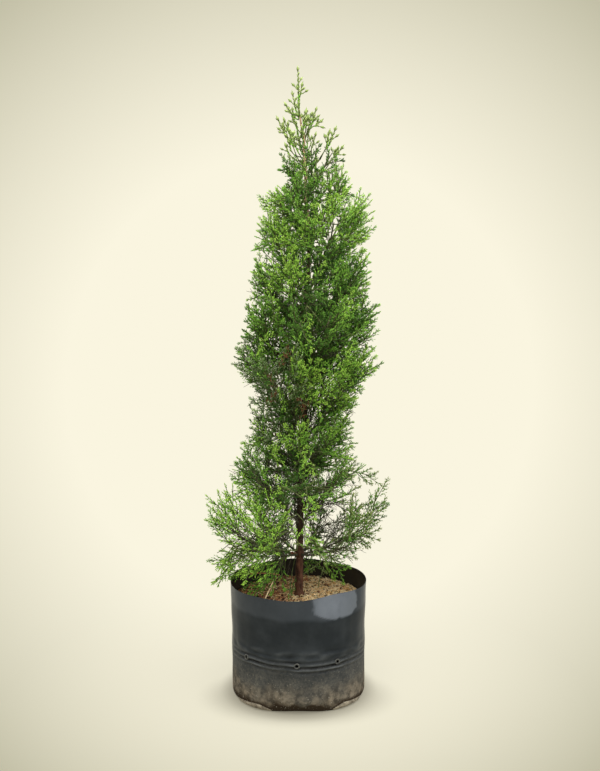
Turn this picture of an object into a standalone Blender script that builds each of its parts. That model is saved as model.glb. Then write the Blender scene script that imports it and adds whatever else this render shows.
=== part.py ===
"""Young cypress, about a metre tall with its nursery bag.

A film bag full of potting soil carries a single upright trunk. Boughs and masses of foliage stand round
the trunk in tiers. Units are metres, +Z is up, and the origin is the centre of the bag's flat underside.
+X is the plant's right-hand side as it is seen from the front, and the front faces -Y.
"""

import math
import random

import bmesh
import bpy
from mathutils import Matrix, Vector

# Clear distances
TOUCH_GAP = 0.0003
BARK_GAP = 0.0004
CELL_MARGIN = 0.0012
LIMB_MARGIN = 0.0015
WELD = 0.00001

# Nursery bag
BAG_RADIUS = 0.113
BAG_RIM_RADIUS = 0.115
BAG_HEIGHT = 0.190
BAG_FOOT_RADIUS = 0.1110
BAG_CORNER = 0.005
BAG_TUCK = 0.0100
BAG_TUCK_HEIGHT = 0.026
BAG_TUCK_POWER = 10
BAG_OVAL = 0.0012
FILM = 0.0012
CREASE_HEIGHTS = (0.084, 0.074)
CREASE_DEPTH = 0.0011
CREASE_HALF_WIDTH = 0.0035
CREASE_WAVES = 5.0
CREASE_WAVE_DEPTH = 0.3
FLARE_START = 0.125
BAG_SIDES = 24
# The share of the foot's radius outside which the film is shaped
BAG_SHAPED = 0.85
VENT_RADIUS = 0.0026
VENT_SIDES = 8
VENT_DRILL_LENGTH = 0.012
# The vents are punched through the flat bag, so each one at the front has a twin at the back.
VENT_AZIMUTHS = (222.0, 268.7, 304.1, 138.0, 91.3, 55.9)

# Potting soil
SOIL_TOP = 0.158
SOIL_UNEVEN = 0.003
SOIL_FOOT_RADIUS = 0.097
SOIL_RINGS = (0.100, 0.070, 0.035)
SOIL_SHOULDER = 0.006
# The mound under the trunk's foot falls away over a slope, and waves start outside it
MOUND_RADIUS = 0.060
MOUND_SLOPE = 0.025
WAVE_START = 0.035
WAVE_SLOPE = 0.030
WAVE_RATES = (61.0, 47.0, 90.0)

# Trunk, as (height, x, y, radius) from its flat foot on the soil to the root of the leader
TRUNK_FOOT = SOIL_TOP + SOIL_UNEVEN + TOUCH_GAP
TRUNK_STATIONS = (
    (TRUNK_FOOT, 0.001, 0.000, 0.0092),
    (0.172, 0.001, 0.000, 0.0070),
    (0.235, 0.002, 0.000, 0.0063),
    (0.308, 0.003, 0.001, 0.0057),
    (0.387, 0.004, 0.002, 0.0052),
    (0.473, 0.010, 0.001, 0.0047),
    (0.560, 0.012, -0.002, 0.0042),
    (0.660, 0.014, -0.003, 0.0037),
    (0.757, 0.018, 0.000, 0.0032),
    (0.853, 0.012, 0.002, 0.0027),
    (0.920, 0.009, 0.001, 0.0022),
    (0.962, 0.003, 0.000, 0.0015),
)
TRUNK_TOP = TRUNK_STATIONS[-1][0]
TRUNK_SAMPLES = 13

# The crown's outline, as (height, reach to the left, reach to the right) from the trunk's axis
CROWN_STATIONS = (
    (0.170, 0.128, 0.070),
    (0.215, 0.170, 0.085),
    (0.240, 0.167, 0.110),
    (0.280, 0.160, 0.142),
    (0.322, 0.164, 0.149),
    (0.366, 0.115, 0.153),
    (0.405, 0.113, 0.098),
    (0.446, 0.090, 0.078),
    (0.490, 0.092, 0.080),
    (0.527, 0.097, 0.102),
    (0.567, 0.122, 0.126),
    (0.607, 0.105, 0.106),
    (0.647, 0.101, 0.120),
    (0.690, 0.093, 0.101),
    (0.745, 0.090, 0.096),
    (0.803, 0.080, 0.108),
    (0.838, 0.078, 0.101),
    (0.861, 0.055, 0.070),
    (0.885, 0.037, 0.062),
    (0.918, 0.034, 0.062),
    (0.956, 0.036, 0.055),
    (0.990, 0.032, 0.035),
    (1.010, 0.016, 0.016),
    (1.042, 0.005, 0.006),
)
CROWN_TOP = CROWN_STATIONS[-1][0]
# The front is open low down, so that the trunk shows
WINDOW_AZIMUTH = math.radians(272.0)
WINDOW_HALF_ANGLE = math.radians(9.0)
WINDOW_TOP = 0.330
# What the foliage keeps clear of: over the bag's rim, inside it, outside it and over the soil
OVER_RIM = 0.005
INSIDE_RIM = 0.007
OUTSIDE_RIM = 0.006
OVER_SOIL = 0.004

# Tiers of boughs from the bottom up: height on the trunk, slope of the tier's underside in degrees, share
# of the reach that is bare bough, the sprays that each mass may have, and the azimuths of its masses, where
# 0 is right and 270 is the front
TIERS = (
    ("skirt", 0.235, -14.0, 0.32, 8, (2, 60, 118, 176, 230, 306)),
    ("low", 0.288, 36.0, 0.28, 6, (24, 90, 156, 222, 312)),
    ("lower_middle", 0.352, 42.0, 0.0, 6, (25, 115, 205, 295)),
    ("middle", 0.430, 45.0, 0.0, 6, (70, 160, 250, 340)),
    ("upper_middle", 0.510, 47.0, 0.0, 6, (20, 110, 200, 290)),
    ("high", 0.590, 48.0, 0.0, 6, (65, 155, 245, 335)),
    ("higher", 0.670, 48.0, 0.0, 6, (20, 110, 200, 290)),
    ("shoulder", 0.750, 50.0, 0.0, 5, (68, 158, 248, 338)),
    ("neck", 0.828, 52.0, 0.0, 4, (22, 112, 202, 292)),
    ("top", 0.893, 54.0, 0.0, 4, (0, 120, 240)),
)
LEADER_SPACING = 0.050
LEADER_UNDERSIDE = 60.0
LEADER_STEM = 0.056
LEADER_WIDTH = 0.004
LEADER_LEAN = 0.0008
LEADER_BARE = 0.018
LEADER_SEED = 500
LEADER_SPRAY_SIZE = 0.5
# How far up between its tier's underside and the next one a limb starts, and how much it climbs by its tip
LIMB_LEVEL = 0.28
LIMB_CLIMB = 0.26
LIMB_SWAY = math.radians(9.0)
LIMB_BEND = 2.4
LIMB_SOCKET = 0.005
LIMB_REACH = 0.86
BOUGH_RADIUS = 0.0024
BOUGH_TAPER = 0.07
STEM_RADIUS = 0.0018
STEM_TIP_RADIUS = 0.0010
STEM_STEPS = 3
REACH_START = 0.012
REACH_STEP = 0.002

# Sprays: flat fans of foliage with three points, each on a twig from its mass's stem
LEVEL_STEP = 0.754878
SWING_STEP = 0.569840
STEP_JITTER = 0.06
LOWEST_SPRAY = 0.12
SPRAY_LEVELS = 0.78
SPRAY_SWING = 0.82
SPRAY_REACH = (0.97, 1.0)
INNER_SPRAY_DEPTH = 0.72
LEADER_SPRAYS = 7
SPRAY_LENGTH = 0.056
SPRAY_WIDTH = 0.034
SPRAY_THICKNESS = 0.0034
SPRAY_RISE = math.radians(52.0)
SPRAY_TURN = 0.35
SPRAY_NOD = 0.22
SPRAY_ROLL = 0.8
SPRAY_BELLY = 0.42
SPRAY_SINK = 0.010
SPRAY_APART = 0.007
SPRAY_TRIES = 2
SHORTEST_SPRAY = 0.55
SIZE_STEP = 0.12
ROLL_TRIES = (0.0, 0.6, -0.6)
END_SPRAY_ROLL = 0.6
END_SPRAY_PAST = 0.6
OUTER_SHARES = (0.35, 0.65, 1.0)
OUTER_START = 0.3
SMALL_SPRAY = 0.8
SMALL_SPRAY_TIERS = ("neck", "top")
# Twigs leave the stem between two shares of its length, further in than their sprays
TWIG_FIRST = 0.15
TWIG_SPREAD = 0.75
TWIG_RAKE = 0.25
TWIG_STEPS = 6
TWIG_RADIUS = 0.0011
TWIG_TAPER = 0.7
CORE_NEAR = 0.016
CORE_PAST_BOUGH = 0.012
CORE_DEPTH = 0.60
BURIED = 0.50
CORE_SWING = 0.70
CORE_RISE = 0.34
CORE_HALF_HEIGHT = 0.030
CORE_LEVEL = 0.48
# Tiers whose masses have no core, and the masses in them that are dense enough for one
OPEN_TIERS = ("skirt", "low", "top")
DENSE_ON_THE_LEFT = ("skirt_foliage_4", "skirt_foliage_5", "low_foliage_3", "low_foliage_4")

# Finishes, as colour and roughness
BARK = ((0.115, 0.060, 0.040), 0.9)
SOIL = ((0.130, 0.072, 0.035), 0.95)
BLACK_FILM = ((0.022, 0.025, 0.029), 0.35)
LEAF_ROUGHNESS = 0.6
LEAF_GREENS = ((0.052, 0.150, 0.022), (0.085, 0.215, 0.030), (0.038, 0.110, 0.022))


def blend_stations(stations, height):
    """The values of a table of stations at a height, eased from each station to the next."""
    if height <= stations[0][0]:
        return stations[0][1:]
    for low, high in zip(stations, stations[1:]):
        if height <= high[0]:
            share = (height - low[0]) / (high[0] - low[0])
            ease = share * share * (3.0 - 2.0 * share)
            return tuple(a + (b - a) * ease for a, b in zip(low[1:], high[1:]))
    return stations[-1][1:]


def trunk_samples():
    """The trunk's middle line and radius as (height, x, y, radius), evenly spaced above its flare."""
    flare_top = TRUNK_STATIONS[1][0]
    rise = (TRUNK_TOP - flare_top) / TRUNK_SAMPLES
    heights = [TRUNK_FOOT] + [flare_top + rise * i for i in range(TRUNK_SAMPLES + 1)]
    return [(height, *blend_stations(TRUNK_STATIONS, height)) for height in heights]


def on_trunk(height):
    """The trunk's x, y and radius at a height, straight from each sample to the next."""
    samples = TRUNK_LINE
    for low, high in zip(samples, samples[1:]):
        if height <= high[0]:
            share = max(0.0, (height - low[0]) / (high[0] - low[0]))
            return tuple(a + (b - a) * share for a, b in zip(low[1:], high[1:]))
    return samples[-1][1:]


def trunk_axis(height):
    x, y, _ = on_trunk(height)
    return Vector((x, y, height))


def trunk_radius(height):
    return on_trunk(height)[2]


def crown_reach(height, azimuth):
    """How far the foliage reaches from the trunk's axis at a height, towards an azimuth in radians."""
    left, right = blend_stations(CROWN_STATIONS, height)
    return (left + right) / 2.0 + (right - left) / 2.0 * math.cos(azimuth)


def heading(azimuth, rise=0.0):
    """The unit direction towards an azimuth, raised by an angle from the level."""
    level = math.cos(rise)
    return Vector((math.cos(azimuth) * level, math.sin(azimuth) * level, math.sin(rise)))


def clear_of_bag(point):
    """Whether a point is over the bag's rim, or inside the rim and over the soil, or outside the bag."""
    if point.z > BAG_HEIGHT + OVER_RIM:
        return True
    distance = math.hypot(point.x, point.y)
    if distance < BAG_RADIUS - INSIDE_RIM:
        return point.z > SOIL_TOP + SOIL_UNEVEN + OVER_SOIL
    return distance > BAG_RIM_RADIUS + OUTSIDE_RIM


def in_window(azimuth, point):
    """Whether a point is in the gap at the front through which the trunk shows."""
    aside = abs(math.remainder(azimuth - WINDOW_AZIMUTH, math.tau))
    return point.z < WINDOW_TOP and aside < WINDOW_HALF_ANGLE


class Cell:
    """The space that one mass keeps to: a sector round the trunk between two sloping undersides."""

    def __init__(self, tier, place):
        _, height, slope, _, _, azimuths = TIERS[tier]
        self.azimuth = math.radians(azimuths[place])
        before = math.radians(azimuths[place - 1])
        after = math.radians(azimuths[(place + 1) % len(azimuths)])
        self.behind = (self.azimuth - before) % math.tau / 2.0
        self.ahead = (after - self.azimuth) % math.tau / 2.0
        levels = [entry[1] for entry in TIERS] + [TRUNK_TOP, TRUNK_TOP + LEADER_SPACING]
        slopes = [entry[2] for entry in TIERS] + [LEADER_UNDERSIDE]
        self.floor_height = height - LIMB_LEVEL * (levels[tier + 1] - height)
        self.floor_slope = math.tan(math.radians(slope))
        self.roof_height = levels[tier + 1] - LIMB_LEVEL * (levels[tier + 2] - levels[tier + 1])
        self.roof_slope = math.tan(math.radians(slopes[tier + 1]))

    def level(self, distance, share):
        """A height between the underside at 0 and the next tier's underside at 1."""
        floor = self.floor_height + self.floor_slope * distance
        roof = self.roof_height + self.roof_slope * distance
        return floor + (roof - floor) * share

    def point(self, distance, swing, share):
        """A place in the cell, by distance from the trunk, swing from -1 to 1 and level from 0 to 1."""
        azimuth = self.azimuth + swing * (self.ahead if swing > 0.0 else self.behind)
        height = self.level(distance, share)
        return trunk_axis(height) + heading(azimuth) * distance

    def core_rise(self, distance):
        """Half the height of the mass's core at a distance, as a share of the cell's height there."""
        return min(CORE_RISE, CORE_HALF_HEIGHT / (self.level(distance, 1.0) - self.level(distance, 0.0)))

    def coordinates(self, point):
        """A place's distance, swing and level in the cell, the other way round from point()."""
        axis = trunk_axis(point.z)
        distance = math.hypot(point.x - axis.x, point.y - axis.y)
        angle = math.remainder(math.atan2(point.y - axis.y, point.x - axis.x) - self.azimuth, math.tau)
        floor = self.level(distance, 0.0)
        share = (point.z - floor) / (self.level(distance, 1.0) - floor)
        return distance, angle / (self.ahead if angle > 0.0 else self.behind), share

    def holds(self, point):
        axis = trunk_axis(point.z)
        distance = math.hypot(point.x - axis.x, point.y - axis.y)
        azimuth = math.atan2(point.y - axis.y, point.x - axis.x)
        angle = math.remainder(azimuth - self.azimuth, math.tau)
        room = CELL_MARGIN / max(distance, CELL_MARGIN)
        if not room - self.behind < angle < self.ahead - room:
            return False
        if distance < trunk_radius(point.z) + LIMB_MARGIN or in_window(azimuth, point):
            return False
        low = self.level(distance, 0.0) + CELL_MARGIN * math.hypot(1.0, self.floor_slope)
        high = self.level(distance, 1.0) - CELL_MARGIN * math.hypot(1.0, self.roof_slope)
        return low < point.z < high and distance < crown_reach(point.z, azimuth) and clear_of_bag(point)

    def reach(self, swing, share):
        """The distance from the trunk at which a level in the cell meets the crown's outline."""
        azimuth = self.azimuth + swing * (self.ahead if swing > 0.0 else self.behind)
        distance = REACH_START
        while distance < crown_reach(self.level(distance, share), azimuth):
            distance += REACH_STEP
        return distance - REACH_STEP


class TopCell:
    """The space of the leader, a steep cone round the top of the trunk."""

    azimuth = 0.0

    def point(self, distance, swing, share):
        lowest = TRUNK_TOP + LEADER_BARE
        height = lowest + (CROWN_TOP - lowest) * share
        return trunk_axis(height) + heading(swing * math.pi) * distance

    def holds(self, point):
        axis = trunk_axis(point.z)
        distance = math.hypot(point.x - axis.x, point.y - axis.y)
        azimuth = math.atan2(point.y - axis.y, point.x - axis.x)
        slope = math.tan(math.radians(LEADER_UNDERSIDE))
        floor = TRUNK_TOP - LIMB_LEVEL * LEADER_SPACING + slope * distance
        if point.z < max(floor + CELL_MARGIN * math.hypot(1.0, slope), TRUNK_TOP + TOUCH_GAP):
            return False
        return distance < max(crown_reach(point.z, azimuth), LEADER_WIDTH) and point.z < CROWN_TOP

    def reach(self, swing, share):
        return crown_reach(self.point(0.0, swing, share).z, swing * math.pi)


def limb_point(tier, cell, share):
    """A point on a limb's middle line, from the trunk at share 0 to near the crown's outline at share 1."""
    distance = LIMB_REACH * cell.reach(0.0, LIMB_LEVEL + LIMB_CLIMB) * share
    height = cell.level(distance, LIMB_LEVEL + LIMB_CLIMB * share)
    azimuth = cell.azimuth + LIMB_SWAY * math.sin(LIMB_BEND * share + tier)
    return trunk_axis(height) + heading(azimuth) * distance


def limb_line(tier, cell, start, end, steps):
    """Points along a limb. One that starts on the trunk leaves it level, with its end face on the bark."""
    points = [limb_point(tier, cell, start + (end - start) * i / steps) for i in range(steps + 1)]
    if start == 0.0:
        height = points[0].z
        out = ((points[1] - points[0]) * Vector((1.0, 1.0, 0.0))).normalized()
        seat = trunk_axis(height) + out * (trunk_radius(height) + BARK_GAP)
        points[0:1] = [seat, seat + out * LIMB_SOCKET]
    return points


def link(name, mesh, material=None, collection=None):
    made = bpy.data.objects.new(name, mesh)
    (collection or PLANT).objects.link(made)
    if material:
        made.data.materials.clear()
        made.data.materials.append(material)
    return made


def finish(name, colour, roughness):
    made = bpy.data.materials.new(name)
    made.use_nodes = True
    shader = made.node_tree.nodes["Principled BSDF"]
    shader.inputs["Base Color"].default_value = (*colour, 1.0)
    shader.inputs["Roughness"].default_value = roughness
    made.diffuse_color = (*colour, 1.0)
    return made


def smooth(made, angle=35.0):
    made.data.shade_smooth()
    made.data.set_sharp_from_angle(angle=math.radians(angle))
    return made


def mesh_from(name, build):
    shape = bmesh.new()
    build(shape)
    bmesh.ops.recalc_face_normals(shape, faces=shape.faces)
    if shape.calc_volume(signed=True) < 0.0:
        bmesh.ops.reverse_faces(shape, faces=shape.faces)
    mesh = bpy.data.meshes.new(name)
    shape.to_mesh(mesh)
    shape.free()
    return mesh


def limb_mesh(name, points, radii, resolution):
    """A tapering round limb along points, as a mesh with its caps welded."""
    data = bpy.data.curves.new(name, "CURVE")
    data.dimensions = "3D"
    data.bevel_depth = 1.0
    data.bevel_resolution = resolution
    data.use_fill_caps = True
    data.twist_mode = "MINIMUM"
    spline = data.splines.new("POLY")
    spline.points.add(len(points) - 1)
    for slot, point, radius in zip(spline.points, points, radii):
        slot.co = (*point, 1.0)
        slot.radius = radius
    curve = bpy.data.objects.new(name + "_line", data)
    PLANT.objects.link(curve)
    bpy.context.view_layer.update()
    graph = bpy.context.evaluated_depsgraph_get()
    tube = bpy.data.meshes.new_from_object(curve.evaluated_get(graph))
    bpy.data.objects.remove(curve)

    def build(shape):
        shape.from_mesh(tube)
        bmesh.ops.remove_doubles(shape, verts=shape.verts, dist=WELD)

    return mesh_from(name, build)


def along(direction, roll):
    """A turn whose local Z runs along a direction, rolled about it."""
    turn = Vector(direction).to_track_quat("Z", "Y").to_matrix().to_4x4()
    return turn @ Matrix.Rotation(roll, 4, "Z")


def twig_mesh(root, tip):
    """A three-sided twig that tapers from its root to its tip."""
    place = Matrix.Translation((root + tip) / 2.0) @ along(tip - root, 0.0)

    def build(shape):
        bmesh.ops.create_cone(
            shape, cap_ends=True, segments=3, radius1=TWIG_RADIUS, radius2=TWIG_RADIUS * TWIG_TAPER,
            depth=(tip - root).length, matrix=place,
        )

    return mesh_from("twig", build)


# A spray's outline in its own plane, as (across, along): root, lobe, notch, tip, notch, lobe
SPRAY_OUTLINE = ((0.0, 0.0), (0.5, 0.60), (0.17, 0.58), (0.0, 1.0), (-0.17, 0.58), (-0.5, 0.60))
# Points between its corners that are tested with them
SPRAY_MIDDLES = ((0.0, 0.5), (0.3, 0.36), (-0.3, 0.36))


def spray_frame(root, direction, roll, size):
    """Where a spray stands, with its plane's local X across it and local Z along it."""
    scale = Matrix.Diagonal((SPRAY_WIDTH * size, SPRAY_THICKNESS, SPRAY_LENGTH * size, 1.0))
    return Matrix.Translation(root) @ along(direction, roll) @ scale


def spray_mesh(place):
    """A spray as a thin double pyramid on its outline, with twelve faces."""

    def build(shape):
        bmesh.ops.create_uvsphere(shape, u_segments=len(SPRAY_OUTLINE), v_segments=2, radius=1.0)
        rim = [corner for corner in shape.verts if abs(corner.co.z) < 0.5]
        rim.sort(key=lambda corner: math.atan2(corner.co.y, corner.co.x) % math.tau)
        middles = [corner for corner in shape.verts if abs(corner.co.z) > 0.5]
        for corner, (across, up) in zip(rim, SPRAY_OUTLINE):
            corner.co = (across, 0.0, up)
        for corner in middles:
            corner.co = (0.0, math.copysign(0.5, corner.co.z), SPRAY_BELLY)
        bmesh.ops.transform(shape, matrix=place, verts=shape.verts)

    return mesh_from("spray", build)


def core_span(cell, limb):
    """The nearest and furthest distance of a core from the trunk, past the mass's bare bough."""
    near = CORE_NEAR
    if limb:
        end = limb[-1][1]
        near = (end - trunk_axis(end.z)).length + CORE_PAST_BOUGH
    return near, near + CORE_DEPTH * (cell.reach(0.0, CORE_LEVEL) - near)


def core_mesh(cell, near, far):
    """The solid heart of a dense mass, a rounded body in the cell's own coordinates."""

    def build(shape):
        bmesh.ops.create_uvsphere(shape, u_segments=6, v_segments=3, radius=1.0)
        for corner in shape.verts:
            swing, rise, out = corner.co
            distance = near + (far - near) * (out + 1.0) / 2.0
            corner.co = cell.point(distance, swing * CORE_SWING, CORE_LEVEL + rise * cell.core_rise(distance))

    return mesh_from("core", build)


def buried(cell, point, near, far):
    """Whether a point is well inside the core."""
    distance, swing, share = cell.coordinates(point)
    out = 2.0 * (distance - near) / (far - near) - 1.0
    rise = (share - CORE_LEVEL) / cell.core_rise(distance)
    return out ** 2 + (swing / CORE_SWING) ** 2 + rise ** 2 < BURIED


def distance_to_line(point, start, end):
    run = end - start
    share = max(0.0, min(1.0, (point - start).dot(run) / run.length_squared))
    return (point - start - run * share).length


def held(cell, points, limb):
    """Whether every point keeps to the mass's own space and clear of its bare bough."""
    for point in points:
        if not cell.holds(point):
            return False
        if any(distance_to_line(point, *part) < BOUGH_RADIUS + LIMB_MARGIN for part in limb):
            return False
    return True


def apart(root, tip, lines):
    """Whether the outer part of a spray stands clear of the outer parts of the others."""
    own = [root.lerp(tip, share) for share in OUTER_SHARES]
    return all(distance_to_line(point, *line) > SPRAY_APART for point in own for line in lines)


def steps_between(a, b, count):
    return [a.lerp(b, (i + 1) / count) for i in range(count)]


def spray_rule(cell, draw, order, depth):
    """One spray by the seeded rule: its tip on the crown's outline, its direction and its roll.

    The sprays of a mass spread evenly over its levels and its swing by two even steps that never repeat.
    Depth is the share of the reach at which the tips stand.
    """
    up = (LEVEL_STEP * (order + 1) + draw.uniform(-STEP_JITTER, STEP_JITTER)) % 1.0
    across = (SWING_STEP * (order + 1) + draw.uniform(-STEP_JITTER, STEP_JITTER)) % 1.0
    share = LOWEST_SPRAY + SPRAY_LEVELS * up
    swing = SPRAY_SWING * (2.0 * across - 1.0)
    distance = cell.reach(swing, share) * depth * draw.uniform(*SPRAY_REACH)
    tip = cell.point(distance, swing, share)
    axis = trunk_axis(tip.z)
    azimuth = math.atan2(tip.y - axis.y, tip.x - axis.x) + draw.uniform(-SPRAY_TURN, SPRAY_TURN)
    rise = SPRAY_RISE + draw.uniform(-SPRAY_NOD, SPRAY_NOD)
    return tip, heading(azimuth, rise), draw.uniform(-SPRAY_ROLL, SPRAY_ROLL)


def stem_point(stem, share):
    whole = share * (len(stem) - 1)
    part = min(int(whole), len(stem) - 2)
    return stem[part].lerp(stem[part + 1], whole - part)


def fit_spray(cell, limb, tip, direction, roll, largest):
    """The largest size and the nearest roll at which a spray keeps to its cell, or nothing."""
    size = largest
    while size > SHORTEST_SPRAY * largest:
        root = tip - direction * SPRAY_LENGTH * size
        for turn in ROLL_TRIES:
            place = spray_frame(root, direction, roll + turn, size)
            tested = [place @ Vector((across, 0.0, up)) for across, up in SPRAY_OUTLINE + SPRAY_MIDDLES]
            if held(cell, tested, limb):
                return root, place
        size -= SIZE_STEP * largest
    return None


def grow_mass(name, cell, stem, seed, count, size, dense, limb, green):
    """One mass of foliage: a stem, its twigs and their sprays joined into one solid."""
    draw = random.Random(seed)
    steps = len(stem) - 1
    radii = [STEM_RADIUS + (STEM_TIP_RADIUS - STEM_RADIUS) * i / steps for i in range(steps + 1)]
    mass = link(name, limb_mesh(name, stem, radii, resolution=0), green)
    pieces = []
    core = core_span(cell, limb) if dense else None
    if core:
        pieces.append(core_mesh(cell, *core))
    lines = []
    for order in range(count * SPRAY_TRIES):
        depth = 1.0 if dense or order % 3 else INNER_SPRAY_DEPTH
        tip, direction, roll = spray_rule(cell, draw, order, depth)
        fitted = fit_spray(cell, limb, tip, direction, roll, size)
        if not fitted or len(lines) == count or not apart(fitted[0], tip, lines):
            continue
        root, place = fitted
        joint = root + direction * SPRAY_SINK * size
        foot = stem_point(stem, TWIG_FIRST + TWIG_SPREAD * joint_share(stem, joint))
        bare_root = not (core and buried(cell, joint, *core))
        if bare_root and not held(cell, steps_between(foot, joint, TWIG_STEPS)[1:], limb):
            continue
        if bare_root:
            pieces.append(twig_mesh(foot, joint))
        pieces.append(spray_mesh(place))
        lines.append((root.lerp(tip, OUTER_START), tip))
    way = (stem[-1] - stem[-2]).normalized()
    end = stem[-1] + way * SPRAY_LENGTH * size * END_SPRAY_PAST
    fitted = fit_spray(cell, limb, end, way, END_SPRAY_ROLL, size)
    if fitted:
        pieces.append(spray_mesh(fitted[1]))
    join(mass, pieces)
    return mass


def joint_share(stem, joint):
    """How far along a stem a twig leaves it, for a spray whose root is at a joint."""
    run = stem[-1] - stem[0]
    return min(1.0, max(0.0, (joint - stem[0]).dot(run) / run.length_squared - TWIG_RAKE))


def join(mass, pieces):
    """Joins a mass's pieces to its stem with one Boolean union on a collection."""
    helpers = bpy.data.collections.new("joined_pieces")
    bpy.context.scene.collection.children.link(helpers)
    for piece in pieces:
        link("piece", piece, collection=helpers)
    union = mass.modifiers.new("join", "BOOLEAN")
    union.operation = "UNION"
    union.operand_type = "COLLECTION"
    union.collection = helpers
    union.solver = "MANIFOLD"
    bpy.context.view_layer.update()
    graph = bpy.context.evaluated_depsgraph_get()
    joined = bpy.data.meshes.new_from_object(mass.evaluated_get(graph))
    mass.modifiers.clear()
    mass.data = joined
    keep_main_body(joined)
    for helper in list(helpers.objects):
        bpy.data.objects.remove(helper)
    bpy.data.collections.remove(helpers)


def body_from(start):
    """Every vertex that edges connect to a vertex, itself included."""
    found = {start}
    waiting = [start]
    while waiting:
        here = waiting.pop()
        for edge in here.link_edges:
            other = edge.other_vert(here)
            if other not in found:
                found.add(other)
                waiting.append(other)
    return found


def keep_main_body(mesh):
    """Fills any hollow that joining sealed and drops any loose scrap, by keeping the largest shell."""
    shape = bmesh.new()
    shape.from_mesh(mesh)
    left = set(shape.verts)
    largest = set()
    while left:
        body = body_from(next(iter(left)))
        left -= body
        if len(body) > len(largest):
            largest = body
    spare = [corner for corner in shape.verts if corner not in largest]
    bmesh.ops.delete(shape, geom=spare, context="VERTS")
    shape.to_mesh(mesh)
    shape.free()


def bag_wave(azimuth, height):
    """How far the film stands off a true circle: an oval, the tuck at its foot and the vents' creases."""
    oval = BAG_OVAL * math.cos(2.0 * azimuth)
    low = max(0.0, 1.0 - height / BAG_TUCK_HEIGHT)
    tuck = BAG_TUCK * low * low * math.sin(azimuth) ** BAG_TUCK_POWER
    wave = 1.0 - CREASE_WAVE_DEPTH + CREASE_WAVE_DEPTH * math.sin(CREASE_WAVES * azimuth)
    crease = 0.0
    for level in CREASE_HEIGHTS:
        away = abs(height - level) / CREASE_HALF_WIDTH
        crease = max(crease, (1.0 - away) * wave)
    return oval - tuck - CREASE_DEPTH * crease


def wall_radius(height):
    rise = max(0.0, (height - FLARE_START) / (BAG_HEIGHT - FLARE_START))
    return BAG_RADIUS + (BAG_RIM_RADIUS - BAG_RADIUS) * rise


def wall_profile():
    """The straight part of the bag's profile as (radius, height), from above its foot to below its rim."""
    lower, upper = min(CREASE_HEIGHTS), max(CREASE_HEIGHTS)
    heights = [BAG_TUCK_HEIGHT, lower - CREASE_HALF_WIDTH, lower, (lower + upper) / 2.0, upper]
    heights += [upper + CREASE_HALF_WIDTH, FLARE_START]
    return [(wall_radius(height), height) for height in heights]


def spun(profile, inset, lift):
    """Spins a profile of (radius, height) into a surface with the bag's oval, tuck and creases."""

    def build(shape):
        corners = [shape.verts.new((radius - inset, 0.0, height)) for radius, height in profile]
        edges = [shape.edges.new(pair) for pair in zip(corners, corners[1:])]
        bmesh.ops.spin(
            shape, geom=corners + edges, cent=(0, 0, 0), axis=(0, 0, 1), angle=math.tau,
            steps=BAG_SIDES, use_merge=True,
        )
        bmesh.ops.remove_doubles(shape, verts=shape.verts, dist=WELD)
        for corner in shape.verts:
            flat = Vector((corner.co.x, corner.co.y, 0.0))
            if flat.length > BAG_FOOT_RADIUS * BAG_SHAPED:
                corner.co += flat.normalized() * bag_wave(math.atan2(flat.y, flat.x), corner.co.z)
            if lift:
                corner.co.z += lift(corner.co)
        ends = [edge for edge in shape.edges if edge.is_boundary and edge.verts[0].co.z < SOIL_TOP / 2.0]
        bmesh.ops.holes_fill(shape, edges=ends)
        if lift:
            bmesh.ops.holes_fill(shape, edges=[edge for edge in shape.edges if edge.is_boundary])

    return build


def soil_lift(place):
    """The unevenness of the soil's top, which is level under the trunk's foot."""
    if place.z < SOIL_TOP - TOUCH_GAP:
        return 0.0
    distance = math.hypot(place.x, place.y)
    broad, cross, fine = WAVE_RATES
    waves = math.sin(broad * place.x + 1.0) * math.cos(cross * place.y) + math.sin(fine * place.y)
    mound = min(1.0, max(0.0, (MOUND_RADIUS - distance) / MOUND_SLOPE))
    waved = min(1.0, max(0.0, (distance - WAVE_START) / WAVE_SLOPE))
    return SOIL_UNEVEN * (mound + 0.5 * waves * waved)


def make_bag():
    arc = [math.radians(angle) for angle in (0.0, 45.0, 90.0)]
    corner = [
        (BAG_FOOT_RADIUS + (BAG_RADIUS - BAG_FOOT_RADIUS) * math.sin(a), BAG_CORNER * (1.0 - math.cos(a)))
        for a in arc
    ]
    profile = corner + wall_profile() + [(BAG_RIM_RADIUS, BAG_HEIGHT)]
    skin = mesh_from("grow_bag", spun(profile, 0.0, None))
    bag = link("grow_bag", skin, finish("film", *BLACK_FILM))
    wall = bag.modifiers.new("film", "SOLIDIFY")
    wall.thickness = FILM
    wall.offset = -1.0
    wall.use_even_offset = True
    cut = bag.modifiers.new("vents", "BOOLEAN")
    cut.operation = "DIFFERENCE"
    cut.object = make_vent_cutter()
    return smooth(bag)


def make_vent_cutter():
    """Six short drills in one helper, set radially at the upper crease."""

    def build(shape):
        for degrees in VENT_AZIMUTHS:
            out = heading(math.radians(degrees))
            middle = out * BAG_RADIUS + Vector((0.0, 0.0, max(CREASE_HEIGHTS)))
            bmesh.ops.create_cone(
                shape, cap_ends=True, segments=VENT_SIDES, radius1=VENT_RADIUS, radius2=VENT_RADIUS,
                depth=VENT_DRILL_LENGTH, matrix=Matrix.Translation(middle) @ along(out, 0.2),
            )

    cutter = link("vent_cutter", mesh_from("vent_cutter", build), collection=CUTTERS)
    cutter.hide_render = True
    cutter.display_type = "WIRE"
    return cutter


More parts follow.
